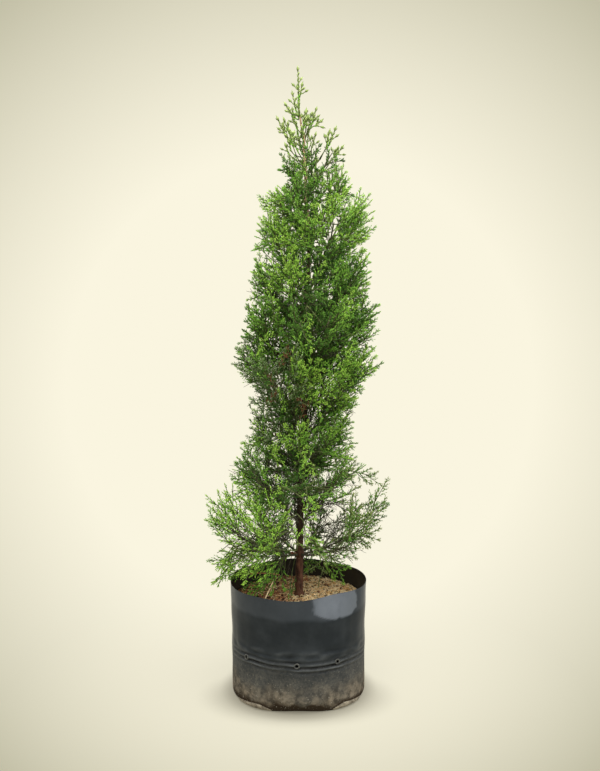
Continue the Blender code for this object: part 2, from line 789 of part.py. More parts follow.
def make_soil():
    """The soil plug, which fills the bag from its floor to an uneven top."""
    inset = FILM + TOUCH_GAP
    foot = [(SOIL_FOOT_RADIUS, FILM + TOUCH_GAP)]
    shoulder = [(wall_radius(SOIL_TOP), SOIL_TOP - SOIL_SHOULDER)]
    top = [(ring + inset, SOIL_TOP) for ring in SOIL_RINGS]
    build = spun(foot + wall_profile() + shoulder + top, inset, soil_lift)
    return smooth(link("potting_soil", mesh_from("potting_soil", build), finish("soil", *SOIL)))


def make_trunk(bark):
    points = [Vector((x, y, height)) for height, x, y, _ in TRUNK_LINE]
    radii = [sample[3] for sample in TRUNK_LINE]
    return smooth(link("trunk", limb_mesh("trunk", points, radii, resolution=3), bark), angle=60.0)


def make_bough(name, points, bark):
    radii = [BOUGH_RADIUS * (1.0 - BOUGH_TAPER * i) for i in range(len(points))]
    return smooth(link(name, limb_mesh(name, points, radii, resolution=1), bark))


def make_crown(bark):
    """Boughs and masses of each tier, then the leader at the top."""
    greens = [finish(f"foliage_{i + 1}", colour, LEAF_ROUGHNESS) for i, colour in enumerate(LEAF_GREENS)]
    serial = 0
    for tier, (tier_name, _, _, bare, sprays, azimuths) in enumerate(TIERS):
        for place in range(len(azimuths)):
            serial += 1
            cell = Cell(tier, place)
            stem = limb_line(tier, cell, bare, 1.0, STEM_STEPS)
            limb = []
            if bare:
                points = limb_line(tier, cell, 0.0, bare, 2)
                make_bough(f"{tier_name}_bough_{place + 1}", points, bark)
                way = (points[-1] - points[-2]).normalized()
                stem[0:1] = [points[-1] + way * TOUCH_GAP, points[-1] + way * LIMB_SOCKET]
                limb = list(zip(points, points[1:]))
            name = f"{tier_name}_foliage_{place + 1}"
            dense = tier_name not in OPEN_TIERS or name in DENSE_ON_THE_LEFT
            size = SMALL_SPRAY if tier_name in SMALL_SPRAY_TIERS else 1.0
            grow_mass(name, cell, stem, serial, sprays, size, dense, limb, greens[serial % 3])
    grow_leader(greens[1])


def grow_leader(green):
    """The leading shoot that carries the plant up to its tip."""
    root = trunk_axis(TRUNK_TOP)
    step = Vector((-LEADER_LEAN, 0.0, LEADER_STEM / STEM_STEPS))
    stem = [root + Vector((0.0, 0.0, BARK_GAP)) + step * i for i in range(STEM_STEPS + 1)]
    cell = TopCell()
    grow_mass("leader_foliage", cell, stem, LEADER_SEED, LEADER_SPRAYS, LEADER_SPRAY_SIZE, False, [], green)


def main():
    bark = finish("bark", *BARK)
    make_bag()
    make_soil()
    make_trunk(bark)
    make_crown(bark)


for old in list(bpy.data.objects):
    bpy.data.objects.remove(old)
TRUNK_LINE = trunk_samples()
PLANT = bpy.data.collections.new("potted_cypress")
bpy.context.scene.collection.children.link(PLANT)
CUTTERS = bpy.data.collections.new("cutters")
bpy.context.scene.collection.children.link(CUTTERS)
main()
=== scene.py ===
"""Looks of the young cypress in its nursery bag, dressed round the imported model.

The crown repeats the construction's own rule: spaces in tiers round the trunk, a limb in each, and sprays
placed by two even steps and a seeded draw. Here each spray is a plume of fine scale-leaf branchlets. Units
are metres, +Z is up, +X is the plant's right as seen from the front, and the front faces -Y.
"""

import math
import random

import bmesh
import bpy
import numpy as np
from mathutils import Matrix, Vector, noise


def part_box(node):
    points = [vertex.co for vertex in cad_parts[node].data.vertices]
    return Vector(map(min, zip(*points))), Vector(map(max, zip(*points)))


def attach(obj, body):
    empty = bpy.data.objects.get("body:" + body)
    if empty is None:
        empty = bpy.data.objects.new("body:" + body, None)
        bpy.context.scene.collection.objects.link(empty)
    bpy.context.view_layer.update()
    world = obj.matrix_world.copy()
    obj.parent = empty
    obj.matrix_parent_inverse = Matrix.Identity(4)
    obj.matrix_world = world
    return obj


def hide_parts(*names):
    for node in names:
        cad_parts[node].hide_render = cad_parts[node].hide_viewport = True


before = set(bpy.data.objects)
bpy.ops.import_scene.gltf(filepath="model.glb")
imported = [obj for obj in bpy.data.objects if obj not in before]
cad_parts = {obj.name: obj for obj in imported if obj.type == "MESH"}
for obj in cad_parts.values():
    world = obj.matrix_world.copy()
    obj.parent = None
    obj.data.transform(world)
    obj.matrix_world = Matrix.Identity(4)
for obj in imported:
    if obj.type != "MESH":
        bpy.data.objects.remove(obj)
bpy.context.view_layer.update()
NODES = sorted(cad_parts)

# Camera at the front, a little over the middle of the plant
CAMERA_PLACE = (0.0026, -1.5, 0.7038)
CAMERA_PITCH = math.radians(6.82)
CAMERA_LENS = 42.215
CAMERA_SENSOR = 36.0

# Trunk, as (height, x, y, radius) from its foot on the soil to the root of the leader
TRUNK_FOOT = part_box("trunk")[0].z
TRUNK_STATIONS = np.array((
    (TRUNK_FOOT, 0.001, 0.000, 0.0092),
    (0.172, 0.001, 0.000, 0.0070),
    (0.235, 0.002, 0.000, 0.0063),
    (0.308, 0.003, 0.001, 0.0057),
    (0.387, 0.004, 0.002, 0.0052),
    (0.473, 0.010, 0.001, 0.0047),
    (0.560, 0.012, -0.002, 0.0042),
    (0.660, 0.014, -0.003, 0.0037),
    (0.757, 0.018, 0.000, 0.0032),
    (0.853, 0.012, 0.002, 0.0027),
    (0.920, 0.009, 0.001, 0.0022),
    (0.962, 0.003, 0.000, 0.0015),
))
TRUNK_TOP = TRUNK_STATIONS[-1][0]

# The crown's outline, as (height, reach to the left, reach to the right) from the trunk's axis
CROWN_STATIONS = np.array((
    (0.170, 0.128, 0.070),
    (0.215, 0.170, 0.085),
    (0.240, 0.167, 0.110),
    (0.280, 0.160, 0.142),
    (0.322, 0.164, 0.149),
    (0.366, 0.115, 0.153),
    (0.382, 0.114, 0.106),
    (0.405, 0.113, 0.098),
    (0.446, 0.090, 0.078),
    (0.490, 0.092, 0.080),
    (0.527, 0.097, 0.102),
    (0.567, 0.122, 0.126),
    (0.607, 0.105, 0.106),
    (0.647, 0.101, 0.120),
    (0.690, 0.093, 0.101),
    (0.745, 0.090, 0.096),
    (0.803, 0.080, 0.108),
    (0.838, 0.078, 0.101),
    (0.861, 0.055, 0.070),
    (0.885, 0.037, 0.062),
    (0.918, 0.034, 0.062),
    (0.956, 0.036, 0.055),
    (0.990, 0.032, 0.035),
    (1.010, 0.016, 0.016),
    (1.042, 0.005, 0.006),
))

# Tiers from the bottom up: height on the trunk, slope of the underside in degrees, share of the reach that
# is bare bough, fronds for each square decimetre of outline, length of their plumes, azimuths of the masses
TIERS = (
    ("skirt", 0.235, -14.0, 0.32, 9.0, 0.048, (2, 60, 118, 176, 230, 306)),
    ("low", 0.288, 36.0, 0.28, 10.5, 0.048, (24, 90, 156, 222, 312)),
    ("lower_middle", 0.352, 42.0, 0.0, 12.6, 0.045, (25, 115, 205, 295)),
    ("middle", 0.430, 45.0, 0.0, 13.0, 0.042, (70, 160, 250, 340)),
    ("upper_middle", 0.510, 47.0, 0.0, 15.5, 0.042, (20, 110, 200, 290)),
    ("high", 0.590, 48.0, 0.0, 16.0, 0.042, (65, 155, 245, 335)),
    ("higher", 0.670, 48.0, 0.0, 14.4, 0.041, (20, 110, 200, 290)),
    ("shoulder", 0.750, 50.0, 0.0, 12.0, 0.038, (68, 158, 248, 338)),
    ("neck", 0.828, 52.0, 0.0, 7.2, 0.026, (22, 112, 202, 292)),
    ("top", 0.893, 54.0, 0.0, 2.0, 0.020, (0, 120, 240)),
)
# Masses that are more open than their tier
OPENNESS = {
    "skirt_foliage_1": 0.32, "skirt_foliage_2": 0.32, "skirt_foliage_3": 0.42, "skirt_foliage_4": 0.40,
    "skirt_foliage_5": 0.50, "skirt_foliage_6": 0.26, "low_foliage_1": 0.42, "low_foliage_4": 0.66,
    "low_foliage_5": 0.55, "top_foliage_1": 0.7, "top_foliage_2": 0.7, "top_foliage_3": 0.7,
}
LEADER_SPACING = 0.050
LEADER_UNDERSIDE = 60.0
LIMB_LEVEL = 0.28
LIMB_CLIMB = 0.26
LIMB_SWAY = math.radians(9.0)
LIMB_BEND = 2.4
LIMB_REACH = 0.86
LIMB_STEPS = 12
BOUGH_RADIUS = 0.0020
STEM_RADIUS = 0.0015
LIMB_TIP_RADIUS = 0.0007
REACH_START = 0.012
REACH_STEP = 0.002

# Windows through which the trunk shows, four low down at the front and two higher up, as azimuth and half
# width in degrees, lowest and highest point
WINDOWS = (
    (272.0, 5.0, 0.160, 0.264), (303.0, 30.0, 0.160, 0.255), (243.0, 20.0, 0.160, 0.186),
    (257.0, 11.0, 0.216, 0.270), (268.0, 9.0, 0.474, 0.508), (276.0, 6.0, 0.700, 0.722),
)

# Notches in the outline: azimuth, half width in degrees, height, distance at which it starts, and its slope
NOTCHES = ((180.0, 55.0, 0.258, 0.104, 0.42), (180.0, 60.0, 0.852, 0.030, 0.50))

# Slots through the crown, as lowest and highest point, x at the lowest, slant and half width
SLOTS = ((0.762, 0.802, 0.0460, 0.5, 0.0055),)

# Sprays follow the construction's rule, spread a little wider so that neighbours meet
LEVEL_STEP = 0.754878
SWING_STEP = 0.569840
STEP_JITTER = 0.06
LOWEST_SPRAY = 0.06
SPRAY_LEVELS = 0.90
SPRAY_SWING = 1.0
SPRAY_REACH = (0.93, 1.0)
SPRAY_RISE = math.radians(38.0)
SPRAY_LIFT = math.radians(16.0)
SPRAY_TURN = 0.55
SPRAY_NOD = 0.40
SKIRT_DROOP = math.radians(34.0)
SPRAY_DEPTHS = (1.0, 0.94, 0.70, 1.0, 0.84, 0.45, 0.97, 0.62)
TOP_SPRAY_SHARE = 0.80
SHORTEST_FROND = 0.018
OUTLINE_SLACK = 0.003
# Room that the foliage leaves at the rim, inside the bag's wall, over the soil and round the trunk
RIM_ROOM = 0.003
WALL_ROOM = 0.012
SOIL_ROOM = 0.006
TRUNK_ROOM = 0.010

# Fronds: a shoot from the limb with plumes in two rows and one at its end
FROND_BARE = 0.30
FROND_END = 0.86
FROND_RUN = 0.45
FROND_LEAFY = 0.072
SHORTEST_PLUME = 0.012
LIMB_PLUME = 0.026
LIMB_PLUME_STEP = 0.055
PLUME_SPACING = 0.0095
PLUME_ANGLES = (math.radians(52.0), math.radians(26.0))
PLUME_SPLAY = 0.30
PLUME_SIZES = (0.82, 1.15)
# How much coarser the plumes inside the crown are, and those along a limb
INNER_COARSE = 1.25
LIMB_COARSE = 1.2

# Plumes: a shoot with fingers in two rows, and scale-leaf tips set close on each of them
SHOOT_WIDTH = 0.00090
SIDE_SPACING = 0.0050
SIDE_SHARE = 0.40
SIDE_WIDTH = 0.00095
SIDE_BEND = 0.20
SIDE_ANGLES = (math.radians(52.0), math.radians(30.0))
SIDE_SIZES = (0.75, 1.12)
SIDE_TAPER = 0.7
BRANCHLET_SPACING = 0.0031
BRANCHLET_LENGTH = 0.0050
BRANCHLET_WIDTH = 0.00078
BRANCHLET_ANGLE = math.radians(32.0)
BRANCHLET_SIZES = (0.75, 1.2)
ANGLE_SCATTER = 0.12
TOP_BRANCHLETS = (0.84, 0.90, 0.95, 0.98, 1.0)
TIP_SPLAY = 0.45
PLUME_EDGE = 0.50
FAN_SCATTER = 0.25
TWIG_WIDTH = 0.00085
UP = np.array((0.0, 0.0, 1.0))

# Zones of the crown, whose foliage is joined into one piece for each green
ZONES = (("skirt",), ("low", "lower_middle"), ("middle", "upper_middle"), ("high", "higher"),
         ("shoulder", "neck", "top", "leader"))
# Each green of a plume's edge, and the darker one of its inside, which is painted shade
DARKER = {
    "bright": "fresh", "fresh": "middling", "middling": "deep", "deep": "deep", "olive": "middling",
    "rust": "rust", "tender": "fresh", "dull": "deep",
}
DEAD_SHARE = 0.04
DEAD_TOP = 0.66
DULL_HEIGHTS = (0.43, 0.60)
DULL_SHARE = 0.60
TENDER_SHARE = 0.65
OLIVE_SHARE = 0.65
# Painted light and shade, which decide a frond's green: how the light changes with the frond's depth, with
# patches of noise and by chance, and what comes to it high up (height, rise, light), round a middle height
# (height, spread, light), at the low left (top, x, light) and less of it in the bag (top, shade)
LIGHT_OF_DEPTH = 1.9
LIGHT_LOSS = 1.17
LIGHT_OF_PATCHES = 1.35
LIGHT_CHANCE = 0.28
PATCH_FINENESS = 12.0
HIGH_LIGHT = (0.68, 0.17, 0.76)
MIDDLE_LIGHT = (0.49, 0.05, 0.32)
LEFT_LIGHT = (0.37, -0.06, 0.95)
BAG_SHADE = (0.20, 0.75)
# The least painted light of each green, and how far over it a frond is painted darker inside as shade
LIGHT_STEPS = (("bright", 0.78), ("fresh", 0.30), ("middling", -0.12))
DARK_INSIDE = 0.22
OLIVE_MASSES = ("skirt_foliage_1", "skirt_foliage_6", "low_foliage_1", "low_foliage_5")
EDGE_TUFT = 0.005
TENDER_HEIGHT = 0.850
# Above this height the fronds give way to a few slender shoots
SLENDER_HEIGHT = 0.900
SLENDER_GAPS = 0.78
TOP_LIMB_STEPS = 7
# Thin dry twigs inside the crown, for each mass of the tiers named
DRY_TWIGS = {"skirt": 20, "low": 24, "lower_middle": 16, "middle": 12, "upper_middle": 9, "high": 7}
DRY_LENGTHS = (0.035, 0.085)
DRY_WIDTHS = (0.00065, 0.00035)
TWIGLET_LENGTHS = (0.010, 0.024)
TWIGLET_WIDTHS = (0.00042, 0.00028)

# The leader's shoots: scales along each stem, and fat buds as (share of the shoot, share of the full size)
SCALE_SPACING = 0.0034
SCALE_LENGTH = 0.0062
SCALE_WIDTH = 0.00140
SCALE_LEAN = 0.28
CLUB_LENGTH = 0.0138
CLUB_WIDTH = 0.0024
CLUB_ANGLE = math.radians(38.0)
CLUB_PLACES = ((1.0, 1.0), (0.80, 0.72), (0.62, 0.80), (0.44, 0.82))

# Single plumes whose tips stand out of the outline, as (x, height, length, rise in degrees), on the side
# that x says
EDGE_PLUMES = (
    (0.077, 0.867, 0.036, 48), (0.085, 0.833, 0.045, 66), (0.112, 0.830, 0.044, 40),
    (0.131, 0.788, 0.046, 24), (0.111, 0.750, 0.044, 45), (0.110, 0.715, 0.046, 40),
    (0.116, 0.674, 0.048, 38), (0.135, 0.637, 0.056, 38), (0.136, 0.619, 0.054, 34),
    (0.136, 0.560, 0.056, 22), (0.129, 0.547, 0.050, 16), (0.113, 0.520, 0.046, 20),
    (0.100, 0.498, 0.042, 26), (0.091, 0.448, 0.042, 30), (0.100, 0.398, 0.048, 38),
    (0.155, 0.369, 0.062, 58), (0.153, 0.334, 0.058, 42), (0.150, 0.321, 0.050, 36),
    (0.143, 0.284, 0.058, 10), (0.125, 0.258, 0.056, -6), (0.103, 0.233, 0.050, -22),
    (-0.041, 0.849, 0.038, 72), (-0.068, 0.839, 0.040, 46), (-0.074, 0.760, 0.042, 38),
    (-0.079, 0.680, 0.046, 50), (-0.087, 0.646, 0.048, 42), (-0.102, 0.583, 0.050, 44),
    (-0.109, 0.560, 0.050, 34), (-0.101, 0.545, 0.046, 26), (-0.085, 0.507, 0.044, 30),
    (-0.079, 0.487, 0.042, 32), (-0.092, 0.421, 0.046, 52), (-0.108, 0.398, 0.050, 46),
    (-0.119, 0.372, 0.052, 30), (-0.155, 0.316, 0.058, 56), (-0.155, 0.291, 0.054, 38),
    (-0.161, 0.220, 0.058, -12), (-0.135, 0.200, 0.052, -34), (-0.120, 0.192, 0.046, -46),
)
# Bright plumes in front of the crown, as (x, height, length, angle in degrees as seen from the front)
FRONT_PLUMES = (
    (-0.007, 0.749, 0.050, 88), (0.040, 0.726, 0.040, 60), (0.082, 0.742, 0.045, 72),
    (0.020, 0.592, 0.050, -70), (0.017, 0.628, 0.034, -80), (-0.045, 0.690, 0.042, 100),
    (0.072, 0.552, 0.040, 50), (-0.032, 0.455, 0.040, 150), (-0.047, 0.434, 0.055, 205),
    (0.012, 0.414, 0.036, 80), (0.035, 0.486, 0.046, -70), (0.024, 0.396, 0.040, -60),
    (-0.034, 0.392, 0.036, 120), (-0.030, 0.374, 0.034, 60), (0.030, 0.352, 0.040, -35),
    (-0.070, 0.470, 0.040, 130), (0.018, 0.364, 0.040, 80), (0.026, 0.336, 0.038, -70),
    (0.036, 0.297, 0.040, -25), (0.014, 0.300, 0.036, -80), (-0.031, 0.322, 0.036, 70),
    (-0.060, 0.318, 0.040, 125), (-0.092, 0.386, 0.040, 105), (0.052, 0.462, 0.045, 70),
    (-0.012, 0.332, 0.036, 110), (0.077, 0.505, 0.044, 60), (-0.072, 0.352, 0.042, 120),
    (0.012, 0.436, 0.036, 60),
)
# Dead plumes in front of the crown, as (x, height, length, angle)
DEAD_PLUMES = (
    (-0.017, 0.594, 0.024, 100), (-0.020, 0.583, 0.022, 60), (-0.046, 0.549, 0.026, 120),
    (0.010, 0.500, 0.024, 70), (0.000, 0.512, 0.022, 150), (-0.036, 0.520, 0.022, 40),
)
# Both sets in front, with their green and the share of the crown's reach at which they stand
IN_FRONT = ((FRONT_PLUMES, "bright", 0.97), (DEAD_PLUMES, "rust", 0.86))
# Plumes that hang into the bag, as (place of the tip, length, azimuth and rise of its heading, green)
HANGING_PLUMES = (
    ((-0.082, -0.046, 0.182), 0.048, 200, -34, "fresh"),
    ((-0.077, -0.058, 0.180), 0.046, 215, -38, "fresh"),
    ((-0.090, -0.030, 0.186), 0.048, 190, -28, "middling"),
    ((-0.074, -0.020, 0.182), 0.046, 195, -24, "deep"),
    ((-0.016, -0.040, 0.172), 0.036, 262, -46, "middling"),
    ((-0.011, -0.020, 0.176), 0.034, 250, -52, "middling"),
    ((0.048, 0.040, 0.188), 0.044, 350, -36, "olive"), ((0.024, 0.044, 0.190), 0.040, 60, -40, "olive"),
    ((0.068, 0.046, 0.196), 0.042, 340, -42, "olive"),
    ((0.032, 0.060, 0.200), 0.040, 40, -30, "middling"),
)
# Bare share of the plumes at the edge, in front and in the bag, and how far the first stand fore or aft
EDGE_BARE, FRONT_BARE, HANGING_BARE = 0.12, 0.05, 0.10
EDGE_DEPTH = 0.02
# Every second one of the wide shoots at the top stands again, turned by these angles in degrees and drawn in,
# so that the top is round
TURNS = (78.0, 118.0, -62.0, 96.0, -104.0, 66.0, -80.0)
TURNED_FROM = 0.022
TURNED_REACH = 0.80
JOIN_SLOPE = 0.95
LEADER_WIDTHS = (0.00110, 0.0008)
# Shoots at the top, each from its foot to its tip, as (x, height) of both, how far back its tip leans, how
# long the stalks of its buds are and the share of it that is bare
LEADER_SHOOTS = (
    ((0.002, 0.960), (-0.001, 1.0420), 0.000, 0.009, 0.55),
    ((0.001, 0.990), (0.008, 1.016), -0.003, 0.007, 0.35),
    ((0.000, 0.962), (-0.011, 1.003), 0.003, 0.008, 0.35),
    ((0.000, 0.956), (-0.026, 0.983), -0.006, 0.007, 0.45),
    ((-0.009, 0.968), (-0.014, 0.978), 0.004, 0.005, 0.40),
    ((-0.003, 0.912), (-0.038, 0.963), 0.004, 0.010, 0.40),
    ((-0.012, 0.932), (-0.026, 0.960), -0.006, 0.007, 0.35),
    ((-0.018, 0.930), (-0.032, 0.949), 0.005, 0.006, 0.40),
    ((0.014, 0.938), (0.023, 0.972), 0.005, 0.009, 0.30),
    ((0.012, 0.940), (0.013, 0.975), -0.006, 0.007, 0.30),
    ((0.017, 0.941), (0.032, 0.979), -0.004, 0.008, 0.35),
    ((0.024, 0.946), (0.043, 0.955), 0.002, 0.007, 0.35),
    ((0.043, 0.909), (0.063, 0.947), 0.003, 0.010, 0.30),
    ((0.043, 0.909), (0.052, 0.941), -0.006, 0.008, 0.35),
    ((0.056, 0.896), (0.076, 0.915), -0.002, 0.009, 0.30),
    ((0.056, 0.896), (0.065, 0.914), 0.006, 0.007, 0.30),
    ((-0.013, 0.900), (-0.025, 0.921), -0.006, 0.009, 0.25),
    ((-0.010, 0.905), (-0.019, 0.929), 0.006, 0.008, 0.30),
    ((0.010, 0.915), (0.004, 0.948), -0.016, 0.010, 0.25),
    ((0.012, 0.905), (0.018, 0.946), 0.018, 0.011, 0.25),
    ((0.008, 0.900), (-0.004, 0.940), 0.020, 0.011, 0.25),
    ((0.016, 0.900), (0.030, 0.936), -0.018, 0.011, 0.25),
)
LEADER_SEED = 77
PLUME_SEED = 500

# Bark: width of its plates, how many of them and of their flakes fit a metre, depths of plates, fissures and
# flakes as shares of the radius, and the collar where a limb leaves the trunk
BARK_PLATE_WIDTH = 0.0030
BARK_PLATES = 70.0
BARK_FLAKES = 420.0
BARK_DEPTHS = (0.055, 0.085, 0.030)
FISSURE_WIDTH = 0.13
COLLAR_SPREAD = 0.0055
COLLAR_END = 0.02
COLLAR_SWELL = 0.55

# The small closed shapes that are stamped many times, and the turn from each to the next
SPINDLE_WAIST = 0.56
CHIP_FLATNESS = 0.35
GOLDEN_TURN = 2.399963

# Greens of the leaves, as a light and a dark colour, whose steps are own tone and painted light and shade
GREENS = {
    "bright": ((0.470, 0.740, 0.110), (0.320, 0.590, 0.065)),
    "fresh": ((0.290, 0.560, 0.070), (0.180, 0.410, 0.042)),
    "middling": ((0.170, 0.380, 0.048), (0.105, 0.255, 0.030)),
    "deep": ((0.090, 0.215, 0.032), (0.050, 0.130, 0.019)),
    "tender": ((0.360, 0.460, 0.150), (0.230, 0.330, 0.090)),
    "olive": ((0.360, 0.430, 0.150), (0.210, 0.270, 0.085)),
    "dull": ((0.340, 0.440, 0.215), (0.185, 0.260, 0.112)),
    "rust": ((0.240, 0.110, 0.045), (0.120, 0.052, 0.024)),
}

# Nursery bag: film from its flat foot to its flared rim, a little oval, and pulled in at the foot
BAG_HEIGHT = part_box("grow_bag")[1].z
BAG_RADIUS = 0.113
BAG_RIM_RADIUS = 0.115
BAG_FOOT_RADIUS = 0.1110
BAG_CORNER = 0.005
BAG_TUCK = 0.0140
BAG_TUCK_HEIGHT = 0.026
BAG_TUCK_POWER = 10
BAG_OVAL = 0.0012
FLARE_START = 0.125
FILM = 0.0006
FILM_SIDES = 208
FILM_LEVELS = (BAG_CORNER, 0.066, 0.104, 0.148, BAG_HEIGHT)
FILM_ROWS = (24, 36, 17, 22)
# The crease round the bag, which waves up and down and dips at the sides, and the puckers over it
CREASE_HEIGHT = 0.0845
CREASE_PITCH = 0.0085
CREASE_DEPTH = 0.0022
CREASE_DIP = 0.0045
CREASE_WAVES = (0.0014, 0.0016)
PUCKER_DEPTH = 0.0026
PUCKER_RISE = 0.013
PUCKER_SPREAD = 0.010
# Unevenness of the film, first in broad waves and then in tall ones, and its sag over the soil
FILM_WAVES = (0.0010, 0.0005)
SLACK_START = 0.1560
SLACK_DEPTH = 0.0105
SLACK_AZIMUTH = math.radians(304.0)
SLACK_LEFT = math.radians(245.0)
SLACK_LEFT_SHARE = 0.18
SLACK_SPREAD = math.radians(32.0)
# The gloss patch, with a painted reflection in it, whose lower edge curves up to the right and to the left,
# and the dark one at the foot
PATCH_AZIMUTH = math.radians(306.0)
PATCH_HALF = math.radians(25.0)
PATCH_LOW = 0.1545
PATCH_CURVES = (0.0270, 0.0150)
DARK_FOOT_AZIMUTH = math.radians(272.0)
DARK_FOOT_HALF = math.radians(27.0)
DARK_FOOT_TOP = 0.0170
# Vents, at azimuths in degrees
VENT_AZIMUTHS = (222.0, 268.7, 304.1, 138.0, 91.3, 55.9)
VENT_HEIGHT = 0.084
VENT_RADIUS = 0.0028
VENT_LIP = 0.00115
# Colour of the darker foot and of the painted shadow over the ears
FOOT_DARK_AND_SHADOW = (0.034, 0.024, 0.015)
# Ears, from the low end to the high one in degrees
EARS = ((207.0, 246.0), (336.0, 301.0), (24.0, 59.0), (153.0, 114.0))
EAR_LIFT = 0.0004
EAR_LEAST = 0.0030
EAR_THICKNESS = 0.0022

# Surroundings
WHITE = (1.0, 1.0, 1.0)
CREAM = (0.956, 0.913, 0.745)
DIM_CREAM = (0.487, 0.469, 0.335)
FLOOR = (0.780, 0.745, 0.620)
FLOOR_SHADE = (0.27, 0.26, 0.24)
# The share of the floor that is plain backdrop, and the distances between which all of it comes to be so
FLOOR_PLAIN = 0.75
FLOOR_FADE = (0.16, 0.50)
FLOOR_RADIUS = 14.0
FLOOR_HEIGHT = -0.0004
ROOM_LIGHT = (1.0, 0.98, 0.93)
ROOM_STRENGTH = 0.64
# Cosines of the angles from the middle of the view at which the backdrop starts to darken and is darkest
VIGNETTE_COSINES = (0.968, 0.868)
# Painted shadows under the bag, as centre, squeeze, where each is darkest and gone, and its least light
PAINTED_SHADOW_RINGS = (
    ((0.0, -0.040, 0.0), (0.67, 1.0, 0.0), 0.048, 0.121, 0.0),
    ((0.0, 0.0, 0.0), (1.0, 1.0, 0.0), 0.104, 0.140, 0.35),
)
# Lamps, as name, place, what it points at, size, power and colour
LAMPS = (
    ("side", (1.45, -0.70, 0.95), (0.0, 0.0, 0.35), 1.50, 10.0, (0.93, 0.97, 1.0)),
    ("front", (-0.9, -1.6, 1.7), (0.0, 0.0, 0.55), 1.6, 17.0, (1.0, 0.98, 0.92)),
    ("top", (0.15, -0.50, 2.2), (0.0, 0.0, 0.4), 1.2, 30.0, (1.0, 0.98, 0.93)),
)

# Potting soil and what lies on it
SOIL_TOP = 0.158
SOIL_RADIUS = 0.1112
SOIL_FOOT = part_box("potting_soil")[0].z
SOIL_SIDE = ((SOIL_RADIUS, 0.145), (SOIL_RADIUS - 0.014, 0.13), (SOIL_RADIUS - 0.016, SOIL_FOOT))
# The soil's mound at the trunk as (height, reach, slope's width), and how high its lumps and crumbs stand
SOIL_MOUND = (0.0030, 0.060, 0.025)
SOIL_LUMPS = 0.0020
SOIL_CRUMBS = 0.0007
FIBRES = 1900
CHIPS = 1900
FIBRE_LENGTHS = (0.006, 0.018)
CHIP_LENGTHS = (0.004, 0.011)
# Coir lies as far out as the reach, and none of it stands past the edge
COIR_REACH = 0.1085
COIR_EDGE = 0.1095
COIR_SEED = 12
# Coir's tones, as a light and a dark colour, its odds at the far left and how they change to the right
COIR_TONES = {
    "tan": ((0.980, 0.820, 0.510), (0.900, 0.680, 0.380), 0.12, 0.66),
    "gold": ((0.950, 0.640, 0.290), (0.720, 0.450, 0.180), 0.14, 0.26),
    "red": ((0.640, 0.310, 0.160), (0.360, 0.150, 0.075), 0.52, -0.44),
    "dark": ((0.100, 0.052, 0.028), (0.040, 0.020, 0.012), 0.22, -0.02),
}
STRAW_WIDTHS = (0.00120, 0.00090)
# Points along the two straws in the bag, the ends of the cut stub, and the foot and tip of each pale chip
PALE_STRAW = (
    (-0.0600, -0.086, 0.170), (-0.0562, -0.075, 0.1787), (-0.047, -0.054, 0.193), (-0.0377, -0.032, 0.208),
)
RED_STRAW = (
    (-0.079, -0.047, 0.215), (-0.0705, -0.045, 0.216), (-0.051, -0.045, 0.2155), (-0.031, -0.045, 0.2125),
)
STUB_ENDS = ((-0.003, -0.003, 0.2345), (-0.0160, -0.0090, 0.2390))
STUB_RADII = (0.0034, 0.0024)
PALE_CHIPS = (
    ((-0.0185, -0.010, 0.240), (-0.0190, -0.011, 0.256)),
    ((-0.0205, -0.009, 0.228), (-0.0195, -0.010, 0.237)),
    ((-0.0170, -0.011, 0.247), (-0.0150, -0.012, 0.259)),
    ((-0.0220, -0.010, 0.224), (-0.0210, -0.011, 0.233)),
)
PALE_WIDTH = 0.0016


def held(value):
    """A number held between 0 and 1."""
    return min(1.0, max(0.0, value))


def bell(off, spread):
    """1 where it isn't off, fading evenly to both sides."""
    return math.exp(-(off / spread) ** 2)


def grain(x, y, z):
    """Smooth noise at a place."""
    return noise.noise(Vector((x, y, z)))


def swung(azimuth, middle):
    """How far an azimuth is from another one, as an angle of up to half a turn to either side."""
    return (azimuth - middle + math.pi) % math.tau - math.pi


def length_of(line):
    return np.linalg.norm(np.diff(line, axis=0), axis=1).sum()


def eased(stations, height):
    """The values of a table of stations at one or many heights, eased from each station to the next."""
    height = np.clip(height, stations[0, 0], stations[-1, 0])
    low = np.clip(np.searchsorted(stations[:, 0], height, side="right") - 1, 0, len(stations) - 2)
    share = (height - stations[low, 0]) / (stations[low + 1, 0] - stations[low, 0])
    ease = share * share * (3.0 - 2.0 * share)
    return stations[low, 1:] + (stations[low + 1, 1:] - stations[low, 1:]) * ease[..., None]


def trunk_axis(height):
    line = eased(TRUNK_STATIONS, height)
    return np.stack((line[..., 0], line[..., 1], np.broadcast_to(height, line[..., 0].shape)), axis=-1)


def trunk_radius(height):
    return eased(TRUNK_STATIONS, height)[..., 2]


def crown_reach(height, azimuth):
    """How far the foliage reaches from the trunk's axis at a height, towards an azimuth in radians."""
    sides = eased(CROWN_STATIONS, height)
    left, right = sides[..., 0], sides[..., 1]
    return (left + right) / 2.0 + (right - left) / 2.0 * np.cos(azimuth)


def heading(azimuth, rise=0.0):
    """The unit direction towards an azimuth, raised by an angle from the level."""
    level = np.cos(rise)
    return np.stack((np.cos(azimuth) * level, np.sin(azimuth) * level, np.sin(rise) + 0.0 * azimuth), axis=-1)


def unit(ways):
    return ways / np.maximum(np.linalg.norm(ways, axis=-1, keepdims=True), 1e-9)


def round_trunk(points):
    """Each point's distance from the trunk's axis and its azimuth."""
    off = points - trunk_axis(points[..., 2])
    return np.hypot(off[..., 0], off[..., 1]), np.arctan2(off[..., 1], off[..., 0])


